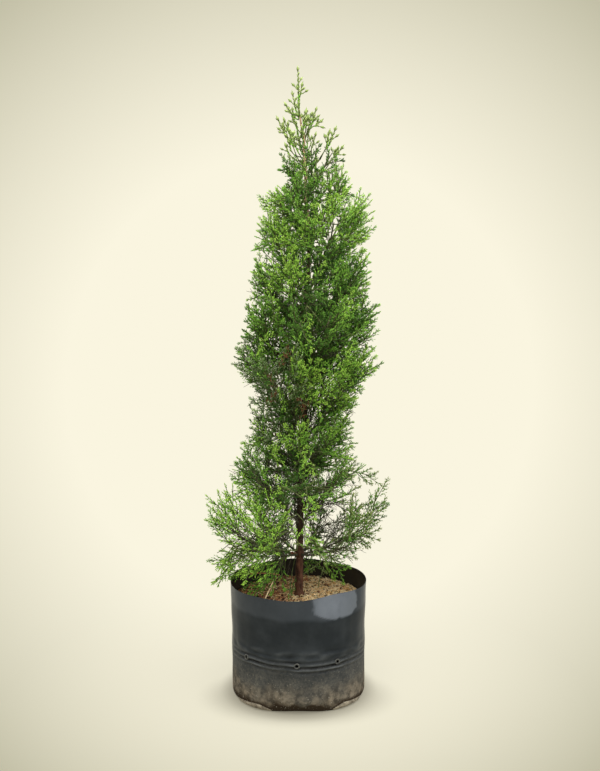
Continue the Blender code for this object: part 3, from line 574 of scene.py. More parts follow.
def in_space(points):
    """Which points keep to the crown's outline, clear of the bag and out of windows, notches and slots."""
    distance, azimuth = round_trunk(points)
    height = points[..., 2]
    kept = distance < crown_reach(height, azimuth) + OUTLINE_SLACK
    centre = np.hypot(points[..., 0], points[..., 1])
    off_wall = (centre > BAG_RIM_RADIUS + RIM_ROOM) | (centre < BAG_RADIUS - WALL_ROOM)
    kept &= (height > BAG_HEIGHT + RIM_ROOM) | off_wall
    kept &= (height > SOIL_TOP + SOIL_ROOM) | (centre > BAG_RIM_RADIUS)
    for middle, half, low, high in WINDOWS:
        beside = np.abs(swung(azimuth, math.radians(middle))) > math.radians(half)
        kept &= (height < low) | (height > high) | beside | (distance < TRUNK_ROOM)
    for middle, half, height_at, start, slope in NOTCHES:
        beside = np.abs(swung(azimuth, math.radians(middle))) > math.radians(half)
        kept &= beside | (np.abs(height - height_at) > slope * np.maximum(0.0, distance - start))
    for low, high, from_x, slant, half in SLOTS:
        beside = np.abs(points[..., 0] - from_x - slant * (height - low)) > half
        kept &= beside | (height < low) | (height > high)
    return kept


def fitted(foot, way, size):
    """The length up to a size at which a shoot from a foot along a way stays in the crown's space."""
    shares = np.linspace(0.3, 1.0, 8)
    inside = in_space(foot + way * size * shares[:, None])
    steps = len(shares) if inside.all() else int(np.argmin(inside))
    return size * shares[steps - 1] if steps else 0.0


def everywhere(points):
    return np.ones(points.shape[:-1], dtype=bool)


class Cell:
    """The space of one mass: a sector round the trunk between two sloping undersides."""

    def __init__(self, tier, place):
        name, height, slope, _, _, _, azimuths = TIERS[tier]
        self.name = f"{name}_foliage_{place + 1}"
        self.azimuth = math.radians(azimuths[place])
        before = math.radians(azimuths[place - 1])
        after = math.radians(azimuths[(place + 1) % len(azimuths)])
        self.behind = (self.azimuth - before) % math.tau / 2.0
        self.ahead = (after - self.azimuth) % math.tau / 2.0
        levels = [entry[1] for entry in TIERS] + [TRUNK_TOP, TRUNK_TOP + LEADER_SPACING]
        slopes = [entry[2] for entry in TIERS] + [LEADER_UNDERSIDE]
        self.floor_height = height - LIMB_LEVEL * (levels[tier + 1] - height)
        self.floor_slope = math.tan(math.radians(slope))
        self.roof_height = levels[tier + 1] - LIMB_LEVEL * (levels[tier + 2] - levels[tier + 1])
        self.roof_slope = math.tan(math.radians(slopes[tier + 1]))

    def level(self, distance, share):
        """A height between the underside at 0 and the next tier's underside at 1."""
        floor = self.floor_height + self.floor_slope * distance
        roof = self.roof_height + self.roof_slope * distance
        return floor + (roof - floor) * share

    def towards(self, swing):
        return self.azimuth + swing * (self.ahead if swing > 0.0 else self.behind)

    def point(self, distance, swing, share):
        """A place in the cell, by distance from the trunk, swing from -1 to 1 and level from 0 to 1."""
        return trunk_axis(self.level(distance, share)) + heading(self.towards(swing)) * distance

    def reach(self, swing, share):
        """The distance from the trunk at which a level in the cell meets the crown's outline."""
        distances = np.arange(REACH_START, 0.25, REACH_STEP)
        outside = distances >= crown_reach(self.level(distances, share), self.towards(swing))
        return distances[max(int(np.argmax(outside)) - 1, 0)]

    def outline_area(self):
        """About how much of the crown's outline the cell has, in square metres."""
        out = self.reach(0.0, 0.5)
        return (self.ahead + self.behind) * out * (self.level(out, 1.0) - self.level(out, 0.0))


def limb_point(tier, cell, share):
    """A point on a limb's middle line, from the trunk at share 0 to near the crown's outline at share 1."""
    distance = LIMB_REACH * cell.reach(0.0, LIMB_LEVEL + LIMB_CLIMB) * share
    height = cell.level(distance, LIMB_LEVEL + LIMB_CLIMB * share)
    azimuth = cell.azimuth + LIMB_SWAY * math.sin(LIMB_BEND * share + tier)
    return trunk_axis(height) + heading(azimuth) * distance


def along_line(line, share):
    """The point at a share of a line's steps and the line's direction there."""
    whole = min(max(share, 0.0), 0.9999) * (len(line) - 1)
    part = int(whole)
    step = line[part + 1] - line[part]
    return line[part] + step * (whole - part), unit(step)


class Gathered:
    """Slim pieces gathered for one joined mesh: feet, tips and half widths at both ends."""

    def __init__(self):
        self.rows = []

    def add(self, feet, tips, foot_width, tip_width=None):
        wide = np.broadcast_to(foot_width, feet.shape[:1])
        thin = wide if tip_width is None else np.broadcast_to(tip_width, feet.shape[:1])
        self.rows.append(np.column_stack((feet, tips, wide, thin)))

    def add_one(self, foot, tip, width):
        self.add(np.array([foot]), np.array([tip]), width)

    def add_line(self, line, foot_width, tip_width):
        """A line of pieces end to end, tapering evenly."""
        widths = np.linspace(foot_width, tip_width, len(line))
        self.add(line[:-1], line[1:], widths[:-1], widths[1:])

    def joined(self, shape):
        """A unit shape's copies from the foot to the tip of each piece, as points and triangles."""
        return stamped(shape, np.concatenate(self.rows))


def facing(way, roll):
    """The flat side's direction of a spray that points along a way: level at roll 0, turned about the way."""
    level = unit(np.cross(way, UP if abs(way[2]) < 0.95 else np.array((1.0, 0.0, 0.0))))
    return level * math.cos(roll) + np.cross(way, level) * math.sin(roll)


def grow_plume(chance, line, face, sides, keep, leaves, tone, shoots, bare=0.06, coarse=1.0):
    """One plume along a line: fingers in two rows across its flat side, each with scale-leaf tips set close.

    Tips near the plume's edge take its own green and the others the next darker one, as painted shade.
    Fingers are as long as sides at most, start past the bare share, and shorten towards the tip.
    """
    steps = np.diff(line, axis=0)
    length = np.linalg.norm(steps, axis=1).sum()
    whole = unit(line[-1] - line[0])
    fan = unit(np.cross(face, whole))
    face = np.cross(whole, fan)

    def on_line(share):
        place = np.clip(share, 0.0, 1.0) * len(steps)
        part = np.minimum(place.astype(int), len(steps) - 1)
        return line[part] + steps[part] * (place - part)[:, None], unit(steps[part])

    if not keep(on_line(np.array((0.6,)))[0])[0]:
        return False
    shoots.add_line(line, SHOOT_WIDTH, SHOOT_WIDTH * 0.6)

    count = max(4, round(length * (1.0 - bare) / (SIDE_SPACING * coarse)))
    order = np.arange(count)
    far = 0.97 * (order + 0.5 + chance.uniform(-0.3, 0.3, count)) / count
    feet, ahead = on_line(bare + (1.0 - bare) * far)
    turn = np.where(order % 2, math.pi, 0.0) + np.where(order % 5 == 3, math.pi / 2.0, 0.0)
    turn = turn + chance.normal(0.0, FAN_SCATTER, count)
    lean = SIDE_ANGLES[0] + (SIDE_ANGLES[1] - SIDE_ANGLES[0]) * far + chance.normal(0.0, ANGLE_SCATTER, count)
    out = fan * np.cos(turn)[:, None] + face * np.sin(turn)[:, None]
    ways = ahead * np.cos(lean)[:, None] + out * np.sin(lean)[:, None]
    shape = (1.0 - far) ** SIDE_TAPER * np.minimum(1.0, (far + 0.15) / 0.35)
    sizes = np.maximum(BRANCHLET_LENGTH, sides * shape * chance.uniform(*SIDE_SIZES, count))
    tips = feet + (ways + ahead * SIDE_BEND) * sizes[:, None]
    kept = keep(tips)
    leaves[DARKER[tone]].add(feet[kept], tips[kept], SIDE_WIDTH * coarse)

    number = np.maximum(2, np.round(sizes / (BRANCHLET_SPACING * coarse))).astype(int)
    parent = np.repeat(order, number)
    index = np.arange(len(parent)) - np.repeat(np.cumsum(number) - number, number)
    place = (index + 0.7) / number[parent]
    bend = ahead[parent] * SIDE_BEND * place[:, None] ** 2
    foot = feet[parent] + (ways[parent] * place[:, None] + bend) * sizes[parent][:, None]
    across = unit(np.cross(face, ways[parent])) * np.where(index % 2, 1.0, -1.0)[:, None]
    splay = chance.normal(0.0, TIP_SPLAY, len(parent))[:, None]
    aside = across * np.cos(splay) + face * np.sin(splay)
    angle = (BRANCHLET_ANGLE + chance.normal(0.0, ANGLE_SCATTER, len(parent)))[:, None]
    last = (index == number[parent] - 1)[:, None]
    heads = np.where(last, ways[parent], ways[parent] * np.cos(angle) + aside * np.sin(angle))
    size = BRANCHLET_LENGTH * coarse * (1.15 - 0.35 * place) * chance.uniform(*BRANCHLET_SIZES, len(parent))
    ends = foot + (heads + ahead[parent] * 0.10) * size[:, None]
    edge = 1.0 - (1.0 - far[parent]) * (1.0 - place)
    stays = keep(ends) & kept[parent]
    for part, shade in ((edge > PLUME_EDGE, tone), (edge <= PLUME_EDGE, DARKER[tone])):
        chosen = stays & part
        leaves[shade].add(foot[chosen], ends[chosen], BRANCHLET_WIDTH * coarse)

    top = np.array(TOP_BRANCHLETS)
    spin = np.arange(len(top)) * math.pi
    out = fan * np.cos(spin)[:, None] + face * np.sin(spin)[:, None]
    feet, ahead = on_line(top)
    heads = unit(ahead + out * np.where(top == 1.0, 0.0, 0.55)[:, None])
    leaves[tone].add(feet, feet + heads * BRANCHLET_LENGTH * coarse, BRANCHLET_WIDTH * coarse * 1.05)
    return True


def bezier(start, leave, end, arrive, steps):
    """A curve from start to end, as points, that leaves and arrives along two directions."""
    reach = np.linalg.norm(end - start) * 0.38
    corners = (start, start + leave * reach, end - arrive * reach, end)
    share = np.linspace(0.0, 1.0, steps + 1)[:, None]
    weights = ((1 - share) ** 3, 3 * share * (1 - share) ** 2, 3 * share ** 2 * (1 - share), share ** 3)
    return sum(corner * weight for corner, weight in zip(corners, weights))


def grow_frond(chance, line, face, plume, leaves, tones, shoots, bare, coarse):
    """One frond along a line: plumes in two rows that shorten towards its tip, and one that goes straight on.

    The plumes past the middle take the first of the two tones and the others the second one.
    """
    steps = len(line) - 1
    span = length_of(line)
    fan = unit(np.cross(face, unit(line[-1] - line[0])))
    count = max(2, round(span * (FROND_END - bare) / PLUME_SPACING))
    shoots.add_line(line[:steps], TWIG_WIDTH * 1.2, TWIG_WIDTH * 0.8)
    share = np.linspace(0.0, 1.0, 4)[:, None]
    for order in range(count):
        along = bare + (FROND_END - bare) * (order + chance.uniform(0.2, 0.8)) / count
        foot, ahead = along_line(line, along)
        lean = PLUME_ANGLES[0] + (PLUME_ANGLES[1] - PLUME_ANGLES[0]) * along + chance.normal(0.0, 0.10)
        out = fan * (1.0 if order % 2 else -1.0) + face * chance.normal(0.0, PLUME_SPLAY)
        way = unit(ahead * math.cos(lean) + unit(out) * math.sin(lean))
        size = min(plume * (1.0 - 0.42 * along) * chance.uniform(*PLUME_SIZES), 0.8 * span)
        size = fitted(foot, way + ahead * 0.16, size)
        if size < SHORTEST_PLUME:
            continue
        side = foot + way * size * share + (ahead * 0.16 + UP * 0.06) * size * share ** 2
        flat = unit(face + fan * chance.normal(0.0, 0.25))
        tone = tones[0] if along > 0.62 else tones[1]
        grow_plume(chance, side, flat, SIDE_SHARE * size, in_space, leaves, tone, shoots, coarse=coarse)
    first = max(0, min(steps - 2, int((1.0 - 0.85 * plume / max(span, 1e-6)) * steps)))
    end = line[first:]
    size = SIDE_SHARE * length_of(end)
    grow_plume(chance, end, face, size, in_space, leaves, tones[0], shoots, coarse=coarse)


def tone_of(chance, tip, depth):
    """The two greens of a frond, tip and inside, as painted light and shade: brighter further out, in
    patches, darker inside, and a few have died.
    """
    x, _, height = tip
    patch = noise.noise(Vector(tip) * PATCH_FINENESS + Vector((3.0, 7.0, 1.0)))
    light = LIGHT_OF_DEPTH * depth - LIGHT_LOSS + LIGHT_OF_PATCHES * patch + chance.normal(0.0, LIGHT_CHANCE)
    start, rise, high = HIGH_LIGHT
    middle, spread, more = MIDDLE_LIGHT
    light += high * held((height - start) / rise) + more * bell(height - middle, spread)
    if height < LEFT_LIGHT[0] and x < LEFT_LIGHT[1]:
        light += LEFT_LIGHT[2]
    if height < BAG_SHADE[0] and np.hypot(x, tip[1]) < BAG_RIM_RADIUS:
        light -= BAG_SHADE[1]
    if depth < 0.8 and chance.uniform() < DEAD_SHARE and height < DEAD_TOP:
        return "rust", "rust"
    if height > TENDER_HEIGHT and chance.uniform() < TENDER_SHARE:
        return "tender", "fresh"
    if DULL_HEIGHTS[0] < height < DULL_HEIGHTS[1] and x < 0.0 and chance.uniform() < DULL_SHARE:
        return "dull", "dull"
    for tone, least in LIGHT_STEPS:
        if light > least:
            return tone, DARKER[tone] if light < least + DARK_INSIDE else tone
    return "deep", "deep"


def grow_dry_twigs(chance, limb, count, dry):
    """Thin dead twigs off a limb, each with short side twiglets."""
    for _ in range(count):
        foot, ahead = along_line(limb, chance.uniform(0.06, 0.70))
        way = unit(ahead * 0.7 + unit(chance.normal(0.0, 1.0, 3)) + UP * 0.25)
        size = fitted(foot, way, chance.uniform(*DRY_LENGTHS))
        if size < SHORTEST_PLUME:
            continue
        line = bezier(foot, way, foot + way * size, unit(way + chance.normal(0.0, 0.35, 3)), 6)
        dry.add_line(line, *DRY_WIDTHS)
        for part in np.linspace(0.25, 0.95, 7):
            knot, onward = along_line(line, part)
            side = unit(onward + unit(chance.normal(0.0, 1.0, 3)) * 0.9)
            run = chance.uniform(*TWIGLET_LENGTHS) * (1.1 - 0.5 * part)
            bent = unit(side + onward * 0.5)
            twiglet = np.array((knot, knot + side * run * 0.5, knot + (side + bent) * run * 0.5))
            dry.add_line(twiglet, *TWIGLET_WIDTHS)


def grow_cell(tier, place, serial, leaves, shoots, dry, limbs):
    """One mass: its limb from the trunk with short plumes along it, then fronds by the rule."""
    tier_name, _, _, bare, density, plume, _ = TIERS[tier]
    cell = Cell(tier, place)
    shares = np.linspace(0.0, 1.0, LIMB_STEPS + 1)
    limb = np.array([limb_point(tier, cell, share) for share in shares])
    width = BOUGH_RADIUS if tier == 0 else STEM_RADIUS
    if tier_name == "top":
        shoots.add_line(limb[:TOP_LIMB_STEPS], TWIG_WIDTH * 1.3, TWIG_WIDTH * 0.7)
    else:
        limbs.append((tier_name, limb[limb[:, 2] < SLENDER_HEIGHT + 0.012], width))
    draw = random.Random(serial)
    chance = np.random.default_rng(serial)
    open_share = OPENNESS.get(cell.name, 1.0)
    count = max(2, round(density * 100.0 * cell.outline_area() * open_share))
    run = max(np.hypot(*(limb[-1] - limb[0])[:2]), 0.01)
    for order in range(count):
        up = (LEVEL_STEP * (order + 1) + draw.uniform(-STEP_JITTER, STEP_JITTER)) % 1.0
        across = (SWING_STEP * (order + 1) + draw.uniform(-STEP_JITTER, STEP_JITTER)) % 1.0
        share = LOWEST_SPRAY + SPRAY_LEVELS * up
        swing = SPRAY_SWING * (2.0 * across - 1.0)
        depth = SPRAY_DEPTHS[order % len(SPRAY_DEPTHS)] * draw.uniform(*SPRAY_REACH)
        drawn_in = TOP_SPRAY_SHARE if tier_name in ("neck", "top") else 1.0
        distance = cell.reach(swing, share) * depth * drawn_in
        tip = cell.point(distance, swing, share)
        slender = tip[2] > SLENDER_HEIGHT
        if slender and chance.uniform() < SLENDER_GAPS:
            continue
        turned = cell.towards(swing) + draw.uniform(-SPRAY_TURN, SPRAY_TURN)
        rise = SPRAY_RISE + SPRAY_LIFT * tier / len(TIERS) + draw.uniform(-SPRAY_NOD, SPRAY_NOD)
        if tier_name == "skirt":
            rise -= SKIRT_DROOP * (1.0 - share)
        way = heading(turned, rise)
        foot, ahead = along_line(limb, max(bare * 0.9, min(0.90, distance / run - FROND_RUN)))
        span = np.linalg.norm(tip - foot)
        if span < SHORTEST_FROND:
            continue
        line = bezier(foot, unit(ahead + way), tip, way, 7)
        tones = tone_of(chance, tip, depth)
        if cell.name in OLIVE_MASSES and tones[0] != "rust" and chance.uniform() < OLIVE_SHARE:
            tones = ("olive", "olive")
        face = facing(unit(tip - foot), draw.uniform(-math.pi / 2.0, math.pi / 2.0))
        if slender:
            shoots.add_line(line, TWIG_WIDTH * 1.2, TWIG_WIDTH * 0.9)
            grow_clubs(chance, line[2:], face, 0.006, 0.45, leaves)
            continue
        first = max(FROND_BARE, 1.0 - FROND_LEAFY / span) if bare else FROND_BARE
        coarse = 1.0 if depth > 0.8 else INNER_COARSE
        grow_frond(chance, line, face, plume, leaves, tones, shoots, first, coarse)
    share = np.linspace(0.0, 1.0, 4)[:, None]
    for along in np.arange(0.10, 0.98, LIMB_PLUME_STEP / max(open_share, 0.6)):
        foot, ahead = along_line(limb, along + chance.uniform(-0.02, 0.02))
        if foot[2] > SLENDER_HEIGHT:
            break
        way = unit(ahead * 0.9 + unit(chance.normal(0.0, 1.0, 3)))
        size = fitted(foot, way, LIMB_PLUME * chance.uniform(0.7, 1.2))
        if size > SHORTEST_PLUME:
            line = foot + way * size * share
            face = facing(way, chance.uniform(-1.5, 1.5))
            # Plumes along the limb, inside the crown, take dark greens: partly their own tone and partly
            # painted shade
            tone = "deep" if chance.uniform() < 0.6 else "middling"
            size = SIDE_SHARE * size
            grow_plume(chance, line, face, size, in_space, leaves, tone, shoots, coarse=LIMB_COARSE)
    grow_dry_twigs(chance, limb, DRY_TWIGS.get(tier_name, 0), dry)
    return limb


def nearest_on(lines, point, below):
    """The point of the given lines that is nearest to a point, among those a little under it and inwards."""
    stacked = np.concatenate(lines)
    inward = np.hypot(stacked[:, 0], stacked[:, 1]) < np.hypot(point[0], point[1])
    lower = stacked[:, 2] < point[2] - below
    off = np.linalg.norm(stacked - point, axis=1) + np.where(inward & lower, 0.0, 1.0)
    return stacked[int(np.argmin(off))]


def outward(shape):
    """Turns the faces of a closed shape outwards."""
    bmesh.ops.recalc_face_normals(shape, faces=shape.faces)
    if shape.calc_volume(signed=True) < 0.0:
        bmesh.ops.reverse_faces(shape, faces=shape.faces)


def unit_shape(build):
    """A small closed shape from bmesh operators, as its points and its triangles."""
    shape = bmesh.new()
    build(shape)
    bmesh.ops.triangulate(shape, faces=shape.faces)
    outward(shape)
    shape.verts.index_update()
    points = np.array([corner.co[:] for corner in shape.verts])
    faces = np.array([[corner.index for corner in face.verts] for face in shape.faces])
    shape.free()
    return points, faces


def spindle(shape):
    """A slim body pointed at both ends, fattest past the middle of its length."""
    bmesh.ops.create_uvsphere(shape, u_segments=3, v_segments=2, radius=1.0)
    for corner in shape.verts:
        corner.co.z = SPINDLE_WAIST if abs(corner.co.z) < 0.5 else (1.0 if corner.co.z > 0.0 else 0.0)


def chip(shape):
    """A flat flake, pointed at both ends, with four corners round its middle."""
    bmesh.ops.create_uvsphere(shape, u_segments=4, v_segments=2, radius=1.0)
    for corner in shape.verts:
        corner.co = (corner.co.x, corner.co.y * CHIP_FLATNESS, corner.co.z * 0.5 + 0.5)


def tube_shape(sides, rings):
    """A unit tube along +Z cut into rings, as points and triangles."""

    def build(shape):
        bmesh.ops.create_cone(
            shape, cap_ends=True, segments=sides, radius1=1.0, radius2=1.0, depth=1.0,
            matrix=Matrix.Translation((0.0, 0.0, 0.5)),
        )
        uprights = [edge for edge in shape.edges if abs(edge.verts[0].co.z - edge.verts[1].co.z) > 0.5]
        bmesh.ops.subdivide_edges(shape, edges=uprights, cuts=rings - 2)

    return unit_shape(build)


def stamped(shape, rows):
    """Copies of a unit shape, one from the foot to the tip of each row, joined as points and triangles."""
    points, faces = shape
    ways = rows[:, 3:6] - rows[:, 0:3]
    ahead = unit(ways)
    steep = np.abs(ahead[:, 2:3]) > 0.9
    side = unit(np.cross(ahead, np.where(steep, np.array((1.0, 0.0, 0.0)), UP)))
    over = np.cross(side, ahead)
    turn = (np.arange(len(rows)) * GOLDEN_TURN)[:, None]
    first = side * np.cos(turn) + over * np.sin(turn)
    second = over * np.cos(turn) - side * np.sin(turn)
    widths = rows[:, 6:7] + (rows[:, 7:8] - rows[:, 6:7]) * points[None, :, 2]
    placed = rows[:, None, 0:3] + points[None, :, 2:3] * ways[:, None, :]
    placed = placed + (points[None, :, 0] * widths)[..., None] * first[:, None, :]
    placed = placed - (points[None, :, 1] * widths)[..., None] * second[:, None, :]
    every = faces[None, :, :] + len(points) * np.arange(len(rows))[:, None, None]
    return placed.reshape(-1, 3), every.reshape(-1, 3)


def linked(made):
    """Puts an object into the scene."""
    bpy.context.scene.collection.objects.link(made)
    return made


def dress(made, material, nodes=()):
    """Links an object, gives it its finish and lets it ride on the plant's one body."""
    linked(made).data.materials.append(material)
    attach(made, "root")
    if nodes:
        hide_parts(*nodes)
    return made


def piece_from(name, parts, material, nodes=()):
    """One smooth object from points and triangles."""
    points = np.concatenate([part[0] for part in parts])
    starts = np.cumsum([0] + [len(part[0]) for part in parts[:-1]])
    faces = np.concatenate([part[1] + start for part, start in zip(parts, starts)])
    mesh = bpy.data.meshes.new(name)
    mesh.from_pydata(points.tolist(), [], faces.tolist())
    mesh.shade_smooth()
    return dress(bpy.data.objects.new(name, mesh), material, nodes)


def mesh_object(name, shape):
    """An object that holds a bmesh, which is freed."""
    mesh = bpy.data.meshes.new(name)
    shape.to_mesh(mesh)
    shape.free()
    return bpy.data.objects.new(name, mesh)


def smooth_to(mesh, degrees):
    """Shades a mesh smooth, apart from edges that turn by more than an angle."""
    mesh.shade_smooth()
    mesh.set_sharp_from_angle(angle=math.radians(degrees))


def object_from(name, build, material, degrees, nodes=()):
    """One object from bmesh operators, with its faces turned outwards."""
    shape = bmesh.new()
    build(shape)
    outward(shape)
    made = mesh_object(name, shape)
    smooth_to(made.data, degrees)
    return dress(made, material, nodes)


def spun(shape, geom, steps, turn=math.tau):
    """Spins points and edges round +Z, and closes a whole turn."""
    whole = turn == math.tau
    bmesh.ops.spin(shape, geom=geom, cent=(0, 0, 0), axis=(0, 0, 1), angle=turn, steps=steps, use_merge=whole)
    if whole:
        bmesh.ops.remove_doubles(shape, verts=shape.verts, dist=0.00001)


def spun_profile(shape, profile, steps):
    """Spins a profile, given as (radius, height) from point to point, round +Z."""
    corners = [shape.verts.new((radius, 0.0, height)) for radius, height in profile]
    spun(shape, corners + [shape.edges.new(pair) for pair in zip(corners, corners[1:])], steps)


def paint(mesh, name, values):
    """Gives each point of a mesh a value that its finish reads."""
    mesh.attributes.new(name, "FLOAT", "POINT").data.foreach_set("value", values)


def line_frames(line):
    """Directions across a line at each of its points, carried along it without twisting."""
    ahead = unit(np.gradient(line, axis=0))
    first = np.zeros_like(line)
    side = np.cross(ahead[0], (1.0, 0.0, 0.0) if abs(ahead[0][2]) > 0.7 else UP)
    for index, way in enumerate(ahead):
        side = side - way * np.dot(side, way)
        side = side / np.linalg.norm(side)
        first[index] = side
    return first, np.cross(ahead, first)


def bark_relief(around, height, radius):
    """How far bark stands off a limb: long scaly plates between shallow fissures."""
    wide = max(radius / BARK_PLATE_WIDTH, 0.6)
    place = Vector((math.cos(around) * wide, math.sin(around) * wide, height * BARK_PLATES))
    plates = noise.noise(place) + 0.5 * noise.noise(place * 2.3 + Vector((4.0, 1.0, 9.0)))
    flakes = grain(place.x * 3.0, place.y * 3.0, height * BARK_FLAKES)
    plate, fissure, flake = BARK_DEPTHS
    return radius * (plate * plates - fissure * bell(plates, FISSURE_WIDTH) + flake * flakes)


def limb_arrays(line, radii, sides, collars=()):
    """A limb along a line with bark relief, and a swelling towards each limb that leaves it."""
    points, faces = tube_shape(sides, len(line))
    rings = np.clip(np.round(points[:, 2] * (len(line) - 1)).astype(int), 0, len(line) - 1)
    first, second = line_frames(line)
    placed = np.zeros_like(points)
    for index, (ring, point) in enumerate(zip(rings, points)):
        around = math.atan2(point[1], point[0])
        out = first[ring] * math.cos(around) + second[ring] * math.sin(around)
        middle, radius = line[ring], radii[ring]
        grown = radius + bark_relief(around, middle[2] + 0.6 * middle[0], radius)
        for seat, way, swell in collars:
            off = seat[2] - middle[2]
            if abs(off) < COLLAR_END:
                grown += swell * (bell(off, COLLAR_SPREAD) * max(0.0, float(np.dot(out, way)))) ** 1.5
        placed[index] = middle + out * grown
    return placed, faces


def feed(tree, node, inputs):
    """Gives a node's inputs their values, or the sockets to link. A colour may leave out its alpha."""
    for name, value in inputs.items():
        socket = node.inputs[name]
        if isinstance(value, bpy.types.NodeSocket):
            tree.links.new(value, socket)
        else:
            socket.default_value = (*value, 1.0)[:4] if socket.type == "RGBA" else value


def node_in(tree, kind, inputs=None, **settings):
    """Adds a shader node with its settings and its inputs."""
    made = tree.nodes.new("ShaderNode" + kind)
    for name, value in settings.items():
        setattr(made, name, value)
    feed(tree, made, inputs or {})
    return made


def reckoned(tree, operation, first, second):
    """The result of a calculation on two values."""
    return node_in(tree, "Math", {0: first, 1: second}, operation=operation).outputs[0]


def vector_reckoned(tree, operation, *vectors):
    """The result of a calculation on vectors, which is a value for a length or a dot product."""
    made = node_in(tree, "VectorMath", dict(enumerate(vectors)), operation=operation)
    return made.outputs["Value" if operation in ("LENGTH", "DOT_PRODUCT") else "Vector"]


def ranged(tree, value, low=0.0, high=1.0, least=0.0, most=1.0, **settings):
    """A value whose range from low to high is spread from least to most."""
    inputs = {"Value": value, "From Min": low, "From Max": high, "To Min": least, "To Max": most}
    return node_in(tree, "MapRange", inputs, **settings).outputs[0]


def mixed(tree, factor, first, second, kind="MIX"):
    """The colour between two colours at a factor."""
    inputs = {0: factor, 6: first, 7: second}
    return node_in(tree, "Mix", inputs, data_type="RGBA", blend_type=kind, clamp_factor=True).outputs[2]


def painted(tree, name):
    """The values that a piece was painted with."""
    return node_in(tree, "Attribute", attribute_name=name).outputs["Fac"]


def effect(name, inputs, outputs, build):
    """A shader node group with named inputs and outputs. Inputs are given as (name, kind, value)."""
    group = bpy.data.node_groups.new(name, "ShaderNodeTree")
    for label, kind, value in inputs:
        socket = group.interface.new_socket(label, in_out="INPUT", socket_type="NodeSocket" + kind)
        socket.default_value = value
    for label, kind in outputs:
        group.interface.new_socket(label, in_out="OUTPUT", socket_type="NodeSocket" + kind)
    given = group.nodes.new("NodeGroupInput")
    result = group.nodes.new("NodeGroupOutput")
    feed(group, result, build(group, given.outputs))
    return group


def place_group(tree, group, inputs):
    """The outputs of a node group that is placed with its inputs."""
    return node_in(tree, "Group", inputs, node_tree=group).outputs


def object_place(tree, stretch=None):
    """Object coordinates, with +Z squeezed by the stretch where one is given."""
    place = node_in(tree, "TexCoord").outputs["Object"]
    if stretch is None:
        return place
    squeeze = node_in(tree, "CombineXYZ", {"X": 1.0, "Y": 1.0, "Z": stretch}).outputs[0]
    return vector_reckoned(tree, "MULTIPLY", place, squeeze)


def build_mottle(tree, given):
    """Patches between two colours, and the mask they follow."""
    cloud = node_in(tree, "TexNoise", {
        "Vector": object_place(tree, given["Stretch"]), "Scale": given["Scale"], "Detail": given["Detail"],
        "Roughness": 0.6,
    })
    mask = ranged(tree, cloud.outputs["Fac"], given["Low"], given["High"])
    return {"Colour": mixed(tree, mask, given["First"], given["Second"]), "Mask": mask}


def build_rise(tree, given):
    """A mask that is 1 under a height and fades to 0 above it, with a wavering edge."""
    place = object_place(tree)
    height = node_in(tree, "SeparateXYZ", {0: place}).outputs["Z"]
    cloud = node_in(tree, "TexNoise", {"Vector": place, "Scale": given["Scale"], "Detail": 4.0})
    centred = reckoned(tree, "SUBTRACT", cloud.outputs["Fac"], 0.5)
    moved = reckoned(tree, "ADD", height, reckoned(tree, "MULTIPLY", centred, given["Waver"]))
    return {"Mask": ranged(tree, moved, given["Full"], given["Gone"], 1.0, 0.0)}


def build_relief(tree, given):
    """Fine heights for a Bump node: grain over small pits."""
    inputs = {"Vector": object_place(tree, given["Stretch"]), "Scale": given["Scale"]}
    pits = node_in(tree, "TexVoronoi", inputs).outputs["Distance"]
    crumbs = node_in(tree, "TexNoise", {**inputs, "Detail": 5.0}).outputs["Fac"]
    return {"Height": reckoned(tree, "ADD", crumbs, reckoned(tree, "MULTIPLY", pits, given["Pits"]))}


def build_vignette(tree, given):
    """How far a direction is from the backdrop's bright middle."""
    ahead = (0.0, math.cos(CAMERA_PITCH), -math.sin(CAMERA_PITCH))
    near = vector_reckoned(tree, "DOT_PRODUCT", vector_reckoned(tree, "NORMALIZE", given["Way"]), ahead)
    return {"Mask": ranged(tree, near, *VIGNETTE_COSINES)}


def painted_shadow_ring(tree, centre, squeeze, near, far, least):
    """A soft painted shadow that the bag leaves on the floor, from the least light under it to 1 away from
    it.
    """
    off = vector_reckoned(tree, "SUBTRACT", object_place(tree), centre)
    away = vector_reckoned(tree, "LENGTH", vector_reckoned(tree, "MULTIPLY", off, squeeze))
    return ranged(tree, away, near, far, least, interpolation_type="SMOOTHSTEP")


MOTTLE = effect(
    "mottle",
    (("First", "Color", (0, 0, 0, 1)), ("Second", "Color", (1, 1, 1, 1)), ("Scale", "Float", 50.0),
     ("Detail", "Float", 3.0), ("Stretch", "Float", 1.0), ("Low", "Float", 0.4), ("High", "Float", 0.6)),
    (("Colour", "Color"), ("Mask", "Float")), build_mottle,
)
RISE = effect(
    "rise",
    (("Full", "Float", 0.0), ("Gone", "Float", 0.1), ("Waver", "Float", 0.0), ("Scale", "Float", 20.0)),
    (("Mask", "Float"),), build_rise,
)
VIGNETTE = effect("vignette", (("Way", "Vector", (0.0, 1.0, 0.0)),), (("Mask", "Float"),), build_vignette)
RELIEF = effect(
    "relief", (("Scale", "Float", 400.0), ("Stretch", "Float", 1.0), ("Pits", "Float", 0.5)),
    (("Height", "Float"),), build_relief,
)


def mottled(tree, dark, light, scale, detail=3.0, low=0.4, high=0.6, stretch=1.0):
    """A colour that is mottled between a dark and a light one."""
    return place_group(tree, MOTTLE, {
        "First": dark, "Second": light, "Scale": scale, "Detail": detail, "Low": low, "High": high,
        "Stretch": stretch,
    })["Colour"]


def patches(tree, scale, detail, low, high, stretch=1.0):
    """The mask of patches of a size, whose edges are hard where low and high are near each other."""
    return place_group(tree, MOTTLE, {
        "Scale": scale, "Detail": detail, "Low": low, "High": high, "Stretch": stretch,
    })["Mask"]


